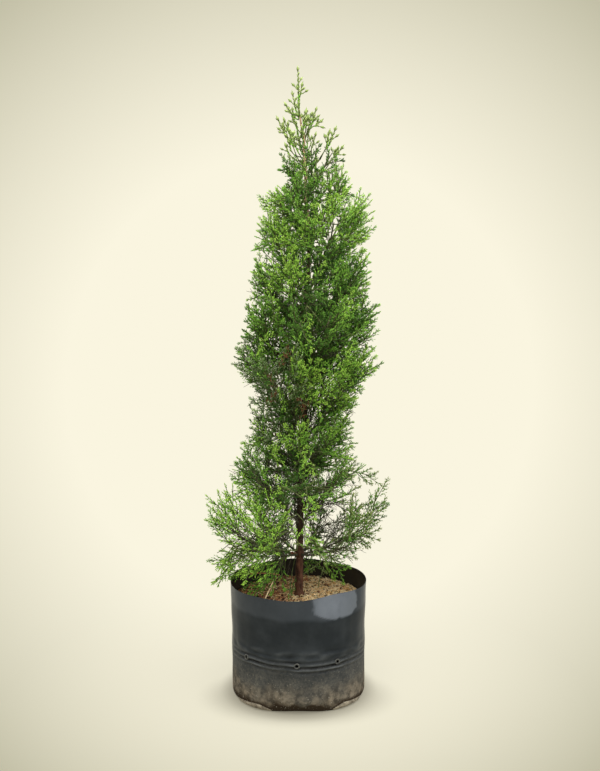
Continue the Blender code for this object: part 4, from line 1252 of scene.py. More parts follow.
def risen(tree, full, gone, waver, scale):
    """The mask of what has risen from below: 1 under one height, and 0 over another."""
    return place_group(tree, RISE, {"Full": full, "Gone": gone, "Waver": waver, "Scale": scale})["Mask"]


def bumped(tree, shader, scale, stretch, pits, depth, strength):
    """Fine relief into a shader's normal."""
    height = place_group(tree, RELIEF, {"Scale": scale, "Stretch": stretch, "Pits": pits})["Height"]
    bump = node_in(tree, "Bump", {"Height": height, "Distance": depth, "Strength": strength})
    feed(tree, shader, {"Normal": bump.outputs[0]})


def finish(name, roughness, build, specular):
    """A material: its shader, and what the given function feeds into it."""
    made = bpy.data.materials.new(name)
    made.use_nodes = True
    shader = made.node_tree.nodes["Principled BSDF"]
    feed(made.node_tree, shader, {"Roughness": roughness, "Specular IOR Level": specular})
    build(made.node_tree, shader)
    return made


def leaf_finish(tone, light, dark):
    def build(tree, shader):
        feed(tree, shader, {"Base Color": mottled(tree, dark, light, 160.0, 2.0)})
        bumped(tree, shader, 900.0, 1.0, 0.6, 0.0003, 0.35)

    return finish(f"leaf_{tone}", 0.6, build, specular=0.22)


def wood_finish(name, light, dark, stretch=0.25, scale=260.0, roughness=0.85):
    def build(tree, shader):
        feed(tree, shader, {"Base Color": mottled(tree, dark, light, scale, 5.0, stretch=stretch)})
        bumped(tree, shader, scale * 3.0, stretch, 0.4, 0.0004, 0.5)

    return finish(name, roughness, build, specular=0.25)


def bark_finish():
    """Red-brown bark in dark fissures, painted dark as shade inside the crown above its foot, and tan near
    the top.
    """

    def build(tree, shader):
        plates = mottled(tree, (0.036, 0.017, 0.010), (0.150, 0.066, 0.038), 210.0, 5.0, 0.36, 0.62, 0.28)
        aged = mixed(tree, patches(tree, 520.0, 3.0, 0.56, 0.70, 0.4), plates, (0.19, 0.100, 0.062))
        # Painted shade: the trunk is made nearly black inside the crown
        painted_crown_shade = mixed(tree, 0.72, aged, (0.018, 0.017, 0.010))
        lower = mixed(tree, risen(tree, 0.222, 0.262, 0.03, 30.0), painted_crown_shade, aged)
        tan = mixed(tree, 0.85, aged, (0.62, 0.42, 0.26))
        feed(tree, shader, {"Base Color": mixed(tree, risen(tree, 0.76, 0.86, 0.05, 30.0), tan, lower)})
        bumped(tree, shader, 650.0, 0.3, 0.5, 0.0005, 0.6)

    return finish("bark", 0.82, build, specular=0.2)


def film_finish():
    """Black film with a blue cast: gloss with a painted reflection over the soil, painted shade and highlight
    with rubs at the crease, dusty low down, muddy and darker at the foot, painted shadow over the ears.
    """

    def build(tree, shader):
        film = mottled(tree, (0.0215, 0.0255, 0.0290), (0.0325, 0.0375, 0.0420), 16.0, 4.0)
        cloud = ranged(tree, patches(tree, 55.0, 4.0, 0.15, 0.75), least=0.72, most=1.12)
        # Painted reflection: this mask lightens the glossy patch's base colour, and it also gives the patch a
        # real coat
        sheen_and_gloss = reckoned(tree, "MULTIPLY", painted(tree, "painted_sheen_and_gloss"), cloud)
        look = mixed(tree, sheen_and_gloss, film, (0.124, 0.140, 0.165))
        crease_shading_and_wear = painted(tree, "crease_shading_and_wear")
        # Painted shade in the grooves of the crease
        look = mixed(tree, ranged(tree, crease_shading_and_wear, -0.12, -0.8, most=0.80), look, (0.004, 0.0045, 0.005))
        rise = risen(tree, 0.008, 0.094, 0.022, 14.0)
        grit = ranged(tree, patches(tree, 240.0, 8.0, 0.42, 0.58), least=0.45)
        dust = mottled(tree, (0.080, 0.077, 0.068), (0.190, 0.176, 0.145), 38.0, 9.0, 0.34, 0.66)
        look = mixed(tree, reckoned(tree, "MULTIPLY", rise, grit), look, dust)
        # Lighter on the ridges of the crease: rubbed wear and a painted highlight
        rubs = ranged(tree, patches(tree, 70.0, 6.0, 0.30, 0.66), least=0.25, most=0.95)
        ridge_highlight_and_rubs = reckoned(tree, "MULTIPLY", ranged(tree, crease_shading_and_wear, 0.05, 0.90), rubs)
        look = mixed(tree, ridge_highlight_and_rubs, look, (0.112, 0.120, 0.124))
        mud = mottled(tree, (0.060, 0.048, 0.034), (0.275, 0.228, 0.168), 80.0, 9.0, 0.40, 0.62)
        look = mixed(tree, risen(tree, 0.002, 0.050, 0.052, 34.0), look, mud)
        # Darker in a band at the foot and in a patch at its middle, and a painted shadow in a line just over
        # each ear
        for darker_at_foot in (risen(tree, 0.006, 0.016, 0.046, 22.0), painted(tree, "foot_dark_and_ear_shadow")):
            look = mixed(tree, darker_at_foot, look, FOOT_DARK_AND_SHADOW)
        specks = reckoned(tree, "MULTIPLY", patches(tree, 420.0, 1.0, 0.69, 0.72), rise)
        look = mixed(tree, specks, look, (0.30, 0.28, 0.24))
        feed(tree, shader, {
            "Base Color": mixed(tree, painted(tree, "inside"), look, (0.040, 0.034, 0.026)),
            "Roughness": ranged(tree, rise, least=0.32, most=0.85),
            "Coat Weight": reckoned(tree, "MULTIPLY", sheen_and_gloss, 0.55),
            "Coat Roughness": 0.18,
        })
        bumped(tree, shader, 90.0, 1.0, 0.3, 0.0008, 0.20)

    return finish("film", 0.34, build, specular=0.055)


def soil_finish():
    """Potting mix: dark crumbs, more golden where the surface carries the coir, whose grain is partly painted
    shade in the gaps.
    """

    def build(tree, shader):
        red = mottled(tree, (0.045, 0.021, 0.010), (0.300, 0.140, 0.070), 330.0, 8.0)
        # The golden grain runs from a dark that is partly painted shade in the gaps between crumbs to light
        # crumbs
        gold = mottled(tree, (0.170, 0.092, 0.038), (0.960, 0.720, 0.400), 260.0, 8.0)
        crumbs = mixed(tree, painted(tree, "golden"), red, gold)
        look = mixed(tree, patches(tree, 60.0, 4.0, 0.55, 0.72), crumbs, (0.085, 0.042, 0.022))
        feed(tree, shader, {"Base Color": look})
        bumped(tree, shader, 420.0, 1.0, 1.0, 0.0016, 0.9)

    return finish("soil", 0.95, build, specular=0.2)


def floor_finish():
    """A pale floor that goes over into the backdrop, with the soft shadows painted on it under the bag."""

    def build(tree, shader):
        way = vector_reckoned(tree, "SUBTRACT", object_place(tree), CAMERA_PLACE)
        dim = place_group(tree, VIGNETTE, {"Way": way})["Mask"]
        # Painted shadow under the bag
        ring = reckoned(tree, "MULTIPLY", *[painted_shadow_ring(tree, *entry) for entry in PAINTED_SHADOW_RINGS])
        shade = mixed(tree, ring, FLOOR_SHADE, WHITE)
        backdrop = mixed(tree, 1.0, mixed(tree, dim, CREAM, DIM_CREAM), shade, "MULTIPLY")
        plain = node_in(tree, "Emission", {"Color": backdrop, "Strength": 1.0}).outputs[0]
        feed(tree, shader, {"Base Color": FLOOR})
        both = node_in(tree, "MixShader", {0: FLOOR_PLAIN, 1: shader.outputs[0], 2: plain}).outputs[0]
        far = ranged(tree, vector_reckoned(tree, "LENGTH", object_place(tree)), *FLOOR_FADE)
        whole = node_in(tree, "MixShader", {0: far, 1: both, 2: plain}).outputs[0]
        feed(tree, tree.nodes["Material Output"], {"Surface": whole})

    return finish("pale_floor", 0.9, build, specular=0.0)


LEAVES = {tone: leaf_finish(tone, light, dark) for tone, (light, dark) in GREENS.items()}
TWIG = wood_finish("green_wood", (0.150, 0.190, 0.060), (0.075, 0.090, 0.032))
DRY_TWIG = wood_finish("dry_twig", (0.125, 0.112, 0.074), (0.054, 0.048, 0.032))
BARK = bark_finish()
YOUNG_BARK = wood_finish("young_bark", (0.105, 0.100, 0.058), (0.042, 0.040, 0.026), 0.3, 210.0)
FILM_LOOK = film_finish()
SOIL_LOOK = soil_finish()
DUSTY_LIP = wood_finish("dusty_lip", (0.120, 0.120, 0.110), (0.048, 0.050, 0.049), 1.0, 400.0, 0.6)
EAR_LOOK = wood_finish("dusty_ear", (0.300, 0.262, 0.195), (0.120, 0.100, 0.072), 1.0, 120.0)
COIR = {tone: wood_finish(f"coir_{tone}", *entry[:2], 1.0) for tone, entry in COIR_TONES.items()}
STRAW = wood_finish("straw", (0.950, 0.760, 0.460), (0.850, 0.620, 0.340), 1.0, 300.0, 0.6)
CUT_WOOD = wood_finish("cut_wood", (0.300, 0.120, 0.060), (0.160, 0.060, 0.032), 1.0)

SPINDLE = unit_shape(spindle)
ROD = tube_shape(3, 2)
CHIP = unit_shape(chip)


def grow_clubs(chance, line, face, stalk, bare, leaves):
    """A slender scaly shoot along a line, with a fat bud at its tip and others on short stalks beside it."""
    fan = unit(np.cross(face, unit(line[-1] - line[0])))
    count = max(4, round(length_of(line) / SCALE_SPACING))
    for order in range(count):
        foot, ahead = along_line(line, (order + 0.5) / count)
        side = SCALE_LEAN if order % 2 else -SCALE_LEAN
        tip = foot + unit(ahead + fan * side + face * chance.normal(0.0, 0.12)) * SCALE_LENGTH
        leaves["tender" if order > 0.4 * count else "fresh"].add_one(foot - ahead * 0.002, tip, SCALE_WIDTH)
    for order, (place, share) in enumerate(CLUB_PLACES):
        if place < bare:
            continue
        foot, ahead = along_line(line, place)
        lean = 0.0 if order == 0 else CLUB_ANGLE + chance.normal(0.0, 0.10)
        out = unit(fan * (1.0 if order % 2 else -1.0) + face * chance.normal(0.0, 0.35))
        way = unit(ahead * math.cos(lean) + out * math.sin(lean))
        neck = foot + way * stalk * (1.0 - place) * 1.6
        leaves["tender"].add_one(foot, neck + way * 0.003, SCALE_WIDTH * 0.9)
        long = CLUB_LENGTH * share * chance.uniform(0.85, 1.15)
        leaves["tender"].add_one(neck, neck + way * long, CLUB_WIDTH * (0.6 + 0.4 * share))
        for side in (-1.0, 1.0):
            bud = neck + way * long * 0.30
            turned = unit(way + (fan * side + face * chance.normal(0.0, 0.3)) * 0.50)
            leaves["olive"].add_one(bud, bud + turned * long * 0.46, CLUB_WIDTH * 0.50)


def grow_leader(leaves, shoots):
    """The leader above the wood and the slender shoots round it, with fat buds towards their tips."""
    chance = np.random.default_rng(LEADER_SEED)
    wide = [entry for entry in LEADER_SHOOTS if abs(entry[1][0]) > TURNED_FROM]
    placed = [(entry, 0.0, 1.0) for entry in LEADER_SHOOTS]
    placed += [(entry, turn, TURNED_REACH) for entry, turn in zip(wide[::2], TURNS)]
    for (foot, tip, back, stalk, bare), turn, reach in placed:
        turned = Matrix.Rotation(math.radians(turn), 3, "Z")
        foot = np.array(turned @ Vector((foot[0] * reach, 0.0, foot[1])))
        tip = np.array(turned @ Vector((tip[0] * reach, back, tip[1])))
        run = tip - foot
        axis = trunk_axis(min(foot[2] - JOIN_SLOPE * np.hypot(foot[0], foot[1]), TRUNK_TOP))
        if np.linalg.norm(foot - axis) > 0.004:
            join = bezier(axis, unit(foot - axis), foot, unit(run), 3)
            shoots.add_line(join, TWIG_WIDTH * 1.3, TWIG_WIDTH * 1.1)
        outward_way = unit(run * np.array((1.5, 1.5 if turn else 1.0, 0.7)))
        rising = unit(run + UP * 0.5 * np.hypot(run[0], run[1]))
        line = bezier(foot, outward_way, tip - unit(run) * CLUB_LENGTH, rising, 8)
        shoots.add_line(line, *LEADER_WIDTHS)
        grow_clubs(chance, line, facing(unit(run), chance.uniform(-0.5, 0.5)), stalk, bare, leaves)


def lone_plumes(chance):
    """The plumes that are placed one by one, as (tip, heading, length, green, bare share)."""
    plumes = []
    for x, height, length, rise in EDGE_PLUMES:
        y = chance.uniform(-EDGE_DEPTH, EDGE_DEPTH)
        tip = np.array((x - math.copysign(EDGE_TUFT, x), y, height - EDGE_TUFT * 0.5))
        shady = x > 0.09 and height < 0.4
        tone = "olive" if shady else ("bright", "fresh", "fresh")[int(chance.integers(0, 3))]
        way = heading(math.pi if x < 0.0 else 0.0, math.radians(rise))
        plumes.append((tip, way, length, tone, EDGE_BARE))
    for table, tone, deep in IN_FRONT:
        for x, height, length, angle in table:
            forward = deep * float(crown_reach(height, math.atan2(-1.0, 0.3 * math.copysign(1.0, x))))
            forward = math.sqrt(max(0.0004, forward ** 2 - x * x))
            way = unit(np.array((math.cos(math.radians(angle)), -0.25, math.sin(math.radians(angle)))))
            plumes.append((np.array((x, -forward, height)), way, length, tone, FRONT_BARE))
    for tip, length, azimuth, rise, tone in HANGING_PLUMES:
        way = heading(math.radians(azimuth), math.radians(rise))
        plumes.append((np.array(tip), way, length, tone, HANGING_BARE))
    return plumes


def make_crown():
    """Every mass, the plumes placed one by one and the leader, joined by zone and by green."""
    limbs, lines = [], []
    gathered = [({tone: Gathered() for tone in DARKER}, Gathered(), Gathered()) for _ in ZONES]
    zone_of = {name: zone for zone, names in enumerate(ZONES) for name in names}
    for tier, entry in enumerate(TIERS):
        for place in range(len(entry[-1])):
            lines.append(grow_cell(tier, place, len(lines) + 1, *gathered[zone_of[entry[0]]], limbs))
    heights = [entry[1] for entry in TIERS]
    chance = np.random.default_rng(PLUME_SEED)
    share = np.linspace(0.0, 1.0, 6)[:, None]
    for tip, way, length, tone, bare in lone_plumes(chance):
        tier = max(0, int(np.searchsorted(heights, tip[2] - 0.42 * np.hypot(tip[0], tip[1]))) - 1)
        leaves, shoots, _ = gathered[zone_of[TIERS[tier][0]]]
        line = tip - way * length * (1.0 - share) - UP * 0.12 * length * (1.0 - share ** 2)
        face = facing(way, chance.uniform(-0.5, 0.5))
        grow_plume(chance, line, face, SIDE_SHARE * length, everywhere, leaves, tone, shoots, bare=bare)
        foot = nearest_on(lines, line[0], 0.002)
        shoots.add_line(bezier(foot, unit(line[0] - foot), line[0], way, 4), TWIG_WIDTH * 1.3, TWIG_WIDTH)
    grow_leader(*gathered[-1][:2])
    for names, (leaves, shoots, dry) in zip(ZONES, gathered):
        zone = names[0]
        nodes = [node for node in NODES if node.rsplit("_foliage", 1)[0] in names and "foliage" in node]
        for tone, leaf in leaves.items():
            if leaf.rows:
                piece_from(f"{zone}_{tone}_leaves", [leaf.joined(SPINDLE)], LEAVES[tone], nodes)
        piece_from(f"{zone}_twigs", [shoots.joined(ROD)], TWIG, nodes)
        if dry.rows:
            piece_from(f"{zone}_dry_twigs", [dry.joined(ROD)], DRY_TWIG, nodes)
    return limbs


def make_wood(limbs):
    """The trunk and its limbs in bark."""
    heights = np.linspace(TRUNK_FOOT, TRUNK_TOP, 460)
    level = (1.0, 1.0, 0.0)
    collars = [(limb[0], unit((limb[1] - limb[0]) * level), COLLAR_SWELL * width) for _, limb, width in limbs]
    parts = [limb_arrays(trunk_axis(heights), trunk_radius(heights), 26, collars)]
    piece_from("bark_trunk", parts, BARK, ["trunk"])
    for label in ("skirt", "low", "upper"):
        main = label != "upper"
        parts = []
        for tier_name, limb, width in limbs:
            if label != (tier_name if tier_name in ("skirt", "low") else "upper"):
                continue
            share = np.linspace(0.0, 1.0, 40 if main else 24)
            fine = np.array([along_line(limb, part)[0] for part in share])
            radii = width * 1.1 + (LIMB_TIP_RADIUS - width * 1.1) * share ** 0.7
            parts.append(limb_arrays(fine, radii * (1.0 + 0.35 * np.exp(-share / 0.05)), 8 if main else 6))
        nodes = [node for node in NODES if node.startswith(label + "_bough")]
        piece_from(f"{label}_limbs", parts, YOUNG_BARK, nodes)


def slack_share(azimuth):
    """How slack the film is over the soil, most at the front right."""
    right = bell(swung(azimuth, SLACK_AZIMUTH), SLACK_SPREAD)
    return right + SLACK_LEFT_SHARE * bell(swung(azimuth, SLACK_LEFT), SLACK_SPREAD)


def patch_share(azimuth, height):
    """How much the slack film shines, by real gloss and a painted reflection: a ragged patch at the front
    right, its lower edge curved up.
    """
    ragged = grain(azimuth * 16.0, height * 130.0, 2.0)
    aside = swung(azimuth, PATCH_AZIMUTH) / PATCH_HALF + 0.10 * ragged
    curve = PATCH_CURVES[0] * aside ** 6 if aside > 0.0 else PATCH_CURVES[1] * aside * aside
    over = held((height - PATCH_LOW - curve - 0.0022 * ragged) / 0.0025)
    return over * held((1.0 - abs(aside)) / 0.14)


def crease(azimuth, height):
    """How far the film's folds and the puckers over them stand out, in metres, and how ridged it is, which
    the finish paints as shade in the grooves and light on the ridges.
    """
    around = Vector((math.cos(azimuth), math.sin(azimuth), 0.0))
    wave, ragged = CREASE_WAVES
    bent = CREASE_HEIGHT + wave * math.sin(2.0 * azimuth) + ragged * noise.noise(around * 3.5)
    bent -= CREASE_DIP * abs(around.x) ** 6
    away = height - bent
    in_view = 1.0 - 0.95 * abs(around.x) ** 6
    strength = 0.80 + 0.75 * noise.noise(around * 6.0 + Vector((0.0, 0.0, 4.0 + height * 60.0)))
    fade = bell(away + CREASE_PITCH / 2.0, CREASE_PITCH * 1.15)
    ridged = math.cos(math.tau * away / CREASE_PITCH) * fade * strength * in_view
    puckers = bell(away - PUCKER_RISE, PUCKER_SPREAD) * grain(around.x * 5.0, around.y * 5.0, height * 110.0)
    puckers *= in_view
    return CREASE_DEPTH * ridged + PUCKER_DEPTH * puckers, ridged + 0.9 * puckers


def wall_radius(height):
    rise = max(0.0, (height - FLARE_START) / (BAG_HEIGHT - FLARE_START))
    return BAG_RADIUS + (BAG_RIM_RADIUS - BAG_RADIUS) * rise


def tucked(azimuth, height):
    """How far the film is pulled in at the foot, at the front and the back."""
    low = max(0.0, 1.0 - height / BAG_TUCK_HEIGHT)
    return BAG_TUCK * low * low * math.sin(azimuth) ** BAG_TUCK_POWER


def film_place(azimuth, radius, height):
    """Where a point of the plain film lies once it is pulled, creased and slack."""
    x, y = math.cos(azimuth), math.sin(azimuth)
    out = BAG_OVAL * math.cos(2.0 * azimuth)
    out -= tucked(azimuth, height)
    out += crease(azimuth, height)[0]
    wide = held(height / 0.02)
    out += wide * FILM_WAVES[0] * grain(x * 2.6, y * 2.6, height * 30.0)
    out += wide * FILM_WAVES[1] * grain(x * 9.0, y * 9.0, height * 9.0 + 5.0)
    edge = SLACK_START + 0.003 * math.sin(3.0 * azimuth + 0.6)
    slack = max(0.0, (height - edge) / (BAG_HEIGHT - edge))
    out -= slack_share(azimuth) * SLACK_DEPTH * slack
    lift = 0.0008 * math.sin(5.0 * azimuth) + 0.0030 * slack_share(azimuth)
    return radius + out, height + lift * slack


def film_build(shape):
    """The bag's outer surface, spun from its profile and then pulled into shape."""
    profile = [(0.0, 0.0), (0.05, 0.0), (0.09, 0.0)] + [
        (BAG_FOOT_RADIUS + (BAG_RADIUS - BAG_FOOT_RADIUS) * math.sin(a), BAG_CORNER * (1.0 - math.cos(a)))
        for a in map(math.radians, range(0, 91, 15))
    ]
    levels = zip(FILM_LEVELS, FILM_LEVELS[1:], FILM_ROWS)
    heights = np.concatenate([np.linspace(low, high, rows, endpoint=False) for low, high, rows in levels])
    profile += [(wall_radius(height), height) for height in (*heights[1:], BAG_HEIGHT)]
    spun_profile(shape, profile, FILM_SIDES)
    for corner in shape.verts:
        radius = math.hypot(corner.co.x, corner.co.y)
        if radius > BAG_FOOT_RADIUS * 0.95:
            azimuth = math.atan2(corner.co.y, corner.co.x) % math.tau
            radius, corner.co.z = film_place(azimuth, radius, corner.co.z)
            corner.co.x = radius * math.cos(azimuth)
            corner.co.y = radius * math.sin(azimuth)


def vent_matrix(degrees):
    """Where a vent sits on the film, with its local Z pointing out of the bag."""
    azimuth = math.radians(degrees)
    radius, height = film_place(azimuth, wall_radius(VENT_HEIGHT), VENT_HEIGHT)
    place = Vector((math.cos(azimuth) * radius, math.sin(azimuth) * radius, height))
    turn = Vector((math.cos(azimuth), math.sin(azimuth), 0.0)).to_track_quat("Z", "Y").to_matrix().to_4x4()
    return Matrix.Translation(place) @ turn


def vent_lip(shape, degrees, number):
    """The punched rim of one vent, a little out of round."""
    seat = Matrix.Translation((VENT_RADIUS + VENT_LIP * 0.8, 0.0, 0.0))
    ring = bmesh.ops.create_circle(
        shape, segments=10, radius=VENT_LIP, matrix=seat @ Matrix.Rotation(math.pi / 2.0, 4, "X"),
    )
    spun(shape, ring["verts"] + list(shape.edges), 30)
    for corner in shape.verts:
        around = math.atan2(corner.co.y, corner.co.x)
        corner.co.z += 0.00030 * math.sin(3.0 * around + number) - 0.0002
        corner.co.x *= 1.0 + 0.08 * math.sin(2.0 * around + number)
    bmesh.ops.transform(shape, matrix=vent_matrix(degrees), verts=shape.verts)


def ear_rise(share):
    """How far a folded ear's edge rises along it, before it falls again at its end."""
    return 0.0095 * share * min(1.0, 3.2 * (1.0 - share))


def foot_dark_and_ear_shadow_share(azimuth, height):
    """How dark the film is painted: in a ragged patch at the middle of the foot, and as a painted shadow just
    over the ears.
    """
    aside = abs(swung(azimuth, DARK_FOOT_AZIMUTH)) / DARK_FOOT_HALF
    ragged = 0.0055 * grain(azimuth * 7.0, height * 60.0, 5.0)
    top = DARK_FOOT_TOP * max(0.0, 1.0 - aside ** 4) + ragged
    patch = held((top - height) / 0.0035) if aside < 1.0 else 0.0
    for outer, inner in EARS:
        share = swung(azimuth, math.radians(outer)) / math.radians(inner - outer)
        if 0.0 <= share <= 1.0:
            edge = EAR_LIFT + EAR_LEAST + ear_rise(share)
            # A painted shadow in a line just over the ear's edge
            patch = max(patch, 0.95 * bell(height - edge - 0.0012, 0.0022))
    return patch


def film_values(corner):
    """What a point of the film is painted with: crease shading and wear, gloss and painted sheen, inside, and
    the darker foot with painted shadow over the ears.
    """
    x, y, height = corner.co
    azimuth = math.atan2(y, x) % math.tau
    crease_shading_and_wear = crease(azimuth, height)[1]
    if corner.normal.x * x + corner.normal.y * y < -0.05:
        return crease_shading_and_wear, 0.0, 1.0, 0.0
    ragged = 0.0045 * grain(azimuth * 5.0, height * 30.0, 9.0)
    # A band over the soil all round gets some real gloss and a painted sheen
    above = 0.20 * held((height - PATCH_LOW - ragged) / 0.007)
    return crease_shading_and_wear, max(above, patch_share(azimuth, height)), 0.0, foot_dark_and_ear_shadow_share(azimuth, height)


def make_bag():
    """The film with its thickness and its punched vents, and a raised rim round each vent."""
    shape = bmesh.new()
    film_build(shape)
    bmesh.ops.recalc_face_normals(shape, faces=shape.faces)
    middle = min(shape.faces, key=lambda face: face.calc_center_median().z)
    if middle.normal.z > 0.0:
        bmesh.ops.reverse_faces(shape, faces=shape.faces)
    bag = dress(mesh_object("film_bag", shape), FILM_LOOK, ["grow_bag"])
    wall = bag.modifiers.new("film", "SOLIDIFY")
    wall.thickness = FILM
    wall.offset = -1.0
    drills = bmesh.new()
    for degrees in VENT_AZIMUTHS:
        bmesh.ops.create_cone(
            drills, cap_ends=True, segments=20, radius1=VENT_RADIUS, radius2=VENT_RADIUS, depth=0.012,
            matrix=vent_matrix(degrees),
        )
    cutter = linked(mesh_object("vent_drills", drills))
    cut = bag.modifiers.new("vents", "BOOLEAN")
    cut.operation = "DIFFERENCE"
    cut.object = cutter
    whole = bpy.data.meshes.new_from_object(bag.evaluated_get(bpy.context.evaluated_depsgraph_get()))
    bag.modifiers.clear()
    bag.data = whole
    bpy.data.objects.remove(cutter)
    smooth_to(whole, 48.0)
    painted_with = zip(*[film_values(corner) for corner in whole.vertices])
    for name, values in zip(("crease_shading_and_wear", "painted_sheen_and_gloss", "inside", "foot_dark_and_ear_shadow"), painted_with):
        paint(whole, name, values)
    for number, degrees in enumerate(VENT_AZIMUTHS, 1):
        object_from(
            f"vent_lip_{number}", lambda shape: vent_lip(shape, degrees, number), DUSTY_LIP, 80.0,
        )


def folded_ear(shape, outer, inner, number):
    """One of the bag's seamed corners, folded under: a flap whose edge rises towards the front or back."""
    bmesh.ops.create_circle(shape, segments=16, radius=1.0, cap_ends=False)
    loop = list(shape.verts)
    for corner in loop:
        corner.co = (corner.co.x * EAR_THICKNESS + BAG_RADIUS, 0.0, corner.co.y)
    start, turn = math.radians(outer), math.radians(inner - outer)
    bmesh.ops.rotate(shape, cent=(0, 0, 0), matrix=Matrix.Rotation(start, 3, "Z"), verts=loop)
    spun(shape, loop + list(shape.edges), 36, turn)
    bmesh.ops.holes_fill(shape, edges=[edge for edge in shape.edges if edge.is_boundary])
    for corner in shape.verts:
        radius = math.hypot(corner.co.x, corner.co.y)
        azimuth = math.atan2(corner.co.y, corner.co.x) % math.tau
        share = held(abs(swung(azimuth, start)) / abs(turn))
        swell = min(1.0, 6.0 * share) * min(1.0, 4.0 * (1.0 - share)) + 0.06
        height = EAR_LIFT + (EAR_LEAST + ear_rise(share)) * (0.5 + 0.5 * corner.co.z)
        corner_in = max(0.0, 1.0 - height / BAG_CORNER) ** 2 * (BAG_RADIUS - BAG_FOOT_RADIUS)
        wave = 0.0007 * grain(azimuth * 9.0, height * 200.0, number)
        stand = 0.0006 + (radius - BAG_RADIUS) * swell + wave * swell
        radius = BAG_RADIUS + BAG_OVAL * math.cos(2.0 * azimuth) - tucked(azimuth, height) - corner_in + stand
        corner.co = (radius * math.cos(azimuth), radius * math.sin(azimuth), height)


def make_ears():
    for number, (outer, inner) in enumerate(EARS):
        object_from(
            f"folded_ear_{number + 1}", lambda shape: folded_ear(shape, outer, inner, number), EAR_LOOK,
            70.0,
        )


def soil_height(x, y):
    """The soil's uneven top, with lumps and crumbs, mounded a little towards the trunk."""
    distance = math.hypot(x, y)
    lumps = grain(x * 60.0, y * 60.0, 3.0) + 0.6 * grain(x * 150.0, y * 150.0, 8.0)
    crumbs = grain(x * 420.0, y * 420.0, 1.0)
    rise, reach, width = SOIL_MOUND
    mound = rise * held((reach - distance) / width)
    return SOIL_TOP + mound + SOIL_LUMPS * lumps * min(1.0, distance / 0.03) + SOIL_CRUMBS * crumbs - 0.0002


def golden_share(x):
    """How golden the soil is, more to the right of the trunk."""
    return 0.5 + 0.5 * math.tanh((x + 0.002) / 0.022)


def plug(shape):
    """The soil, spun from its profile, with a crumbly top."""
    profile = [(radius, SOIL_TOP) for radius in np.linspace(0.0, SOIL_RADIUS, 70)]
    spun_profile(shape, profile + [*SOIL_SIDE, (0.0, SOIL_FOOT)], 200)
    for corner in shape.verts:
        if corner.co.z > SOIL_TOP - 0.001:
            corner.co.z = soil_height(corner.co.x, corner.co.y)


def lay_coir():
    """The coir fibres and chips on the soil."""
    chance = np.random.default_rng(COIR_SEED)
    tones = list(COIR_TONES)
    strands = {tone: Gathered() for tone in tones}
    flakes = {tone: Gathered() for tone in tones}
    for index in range(FIBRES + CHIPS):
        radius = COIR_REACH * math.sqrt(chance.uniform(0.005, 1.0))
        azimuth = chance.uniform(0.0, math.tau)
        x, y = radius * math.cos(azimuth), radius * math.sin(azimuth)
        odds = np.array([least + more * golden_share(x) for _, _, least, more in COIR_TONES.values()])
        tone = tones[int(chance.choice(len(tones), p=odds / odds.sum()))]
        turn = chance.uniform(0.0, math.tau)
        fibre = index < FIBRES
        long = chance.uniform(*(FIBRE_LENGTHS if fibre else CHIP_LENGTHS))
        steps = 3 if fibre else 1
        bend = chance.normal(0.0, 0.55)
        arch = chance.uniform(0.0002, 0.0034) if fibre else 0.0008
        points = []
        for share in (step / steps for step in range(steps + 1)):
            px = x + math.cos(turn + bend * share) * long * (share - 0.5)
            py = y + math.sin(turn + bend * share) * long * (share - 0.5)
            if math.hypot(px, py) > COIR_EDGE:
                break
            pz = soil_height(px, py) + 0.0002 + arch * math.sin(math.pi * share) + chance.uniform(0.0, 0.0012)
            points.append((px, py, pz))
        if len(points) < 2:
            continue
        if fibre:
            strands[tone].add_line(np.array(points), chance.uniform(0.00040, 0.00105), 0.00035)
        else:
            flakes[tone].add_one(points[0], points[-1], chance.uniform(0.0014, 0.0034))
    for tone in tones:
        piece_from(f"coir_{tone}", [strands[tone].joined(ROD), flakes[tone].joined(CHIP)], COIR[tone])


def make_soil():
    soil = object_from("soil_plug", plug, SOIL_LOOK, 70.0, ["potting_soil"])
    paint(soil.data, "golden", [golden_share(corner.co.x) for corner in soil.data.vertices])
    lay_coir()


def stub(shape):
    """The stump of a branch that was cut off, with its rim worn."""
    start, end = (Vector(place) for place in STUB_ENDS)
    turn = (end - start).to_track_quat("Z", "Y").to_matrix().to_4x4()
    made = bmesh.ops.create_cone(
        shape, cap_ends=True, segments=12, radius1=STUB_RADII[0], radius2=STUB_RADII[1],
        depth=(end - start).length, matrix=Matrix.Translation((start + end) / 2.0) @ turn,
    )
    rim = [edge for edge in shape.edges if all((v.co - end).length < 0.003 for v in edge.verts)]
    bmesh.ops.bevel(shape, geom=rim, offset=0.0005, segments=2, profile=0.5, affect="EDGES", material=-1)
    for corner in made["verts"]:
        if corner.is_valid:
            corner.co += Vector((1.0, 1.0, 1.0)) * 0.0003 * noise.noise(corner.co * 900.0)


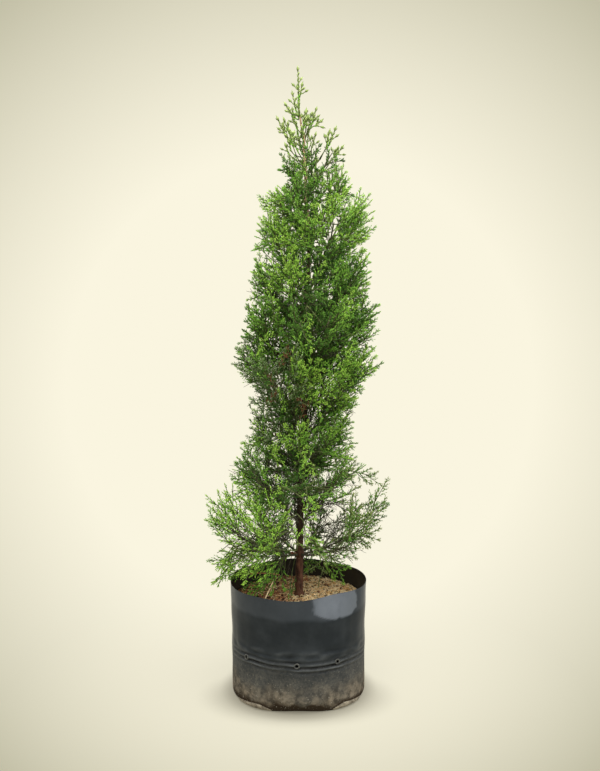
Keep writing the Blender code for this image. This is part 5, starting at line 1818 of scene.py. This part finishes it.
def make_litter():
    """Two dry straws in the bag, and the cut stub on the trunk with the pale green bits round it."""
    for name, look, points in (("pale_straw", STRAW, PALE_STRAW), ("red_straw", COIR["red"], RED_STRAW)):
        straw = Gathered()
        straw.add_line(np.array(points), *STRAW_WIDTHS)
        piece_from(name, [straw.joined(tube_shape(5, 2))], look)
    object_from("cut_stub", stub, CUT_WOOD, 50.0)
    bits = Gathered()
    for foot, tip in PALE_CHIPS:
        bits.add_one(foot, tip, PALE_WIDTH)
    piece_from("pale_chips", [bits.joined(CHIP)], LEAVES["bright"])


def make_view():
    """The camera, at the photograph's angle."""
    view = bpy.data.cameras.new("view")
    view.lens = CAMERA_LENS
    view.sensor_width = CAMERA_SENSOR
    camera = linked(bpy.data.objects.new("view", view))
    camera.location = CAMERA_PLACE
    camera.rotation_euler = (math.pi / 2.0 - CAMERA_PITCH, 0.0, 0.0)
    bpy.context.scene.camera = camera


def make_room():
    """Pale surroundings that darken towards the corners, with an even light of their own."""
    world = bpy.data.worlds.new("cream_room")
    world.use_nodes = True
    tree = world.node_tree
    seen = tree.nodes["Background"]
    way = node_in(tree, "TexCoord").outputs["Generated"]
    mask = place_group(tree, VIGNETTE, {"Way": way})["Mask"]
    feed(tree, seen, {"Color": mixed(tree, mask, CREAM, DIM_CREAM), "Strength": 1.0})
    lit = node_in(tree, "Background", {"Color": ROOM_LIGHT, "Strength": ROOM_STRENGTH})
    rays = node_in(tree, "LightPath").outputs["Is Camera Ray"]
    both = node_in(tree, "MixShader", {0: rays, 1: lit.outputs[0], 2: seen.outputs[0]})
    feed(tree, tree.nodes["World Output"], {"Surface": both.outputs[0]})
    bpy.context.scene.world = world


def make_stage():
    """The view, the room, a pale floor and soft studio light."""
    make_view()
    make_room()
    disc = bmesh.new()
    bmesh.ops.create_circle(disc, cap_ends=True, segments=96, radius=FLOOR_RADIUS)
    floor = linked(mesh_object("floor", disc))
    floor.location.z = FLOOR_HEIGHT
    floor.data.materials.append(floor_finish())
    for name, place, target, size, power, colour in LAMPS:
        lamp = bpy.data.lights.new(name, "AREA")
        lamp.size = size
        lamp.energy = power
        lamp.color = colour
        made = linked(bpy.data.objects.new(name, lamp))
        made.location = place
        made.rotation_euler = (Vector(target) - Vector(place)).to_track_quat("-Z", "Y").to_euler()
    settings = bpy.context.scene.view_settings
    settings.view_transform = "Standard"
    settings.look = "None"


make_stage()
make_wood(make_crown())
make_bag()
make_ears()
make_soil()
make_litter()
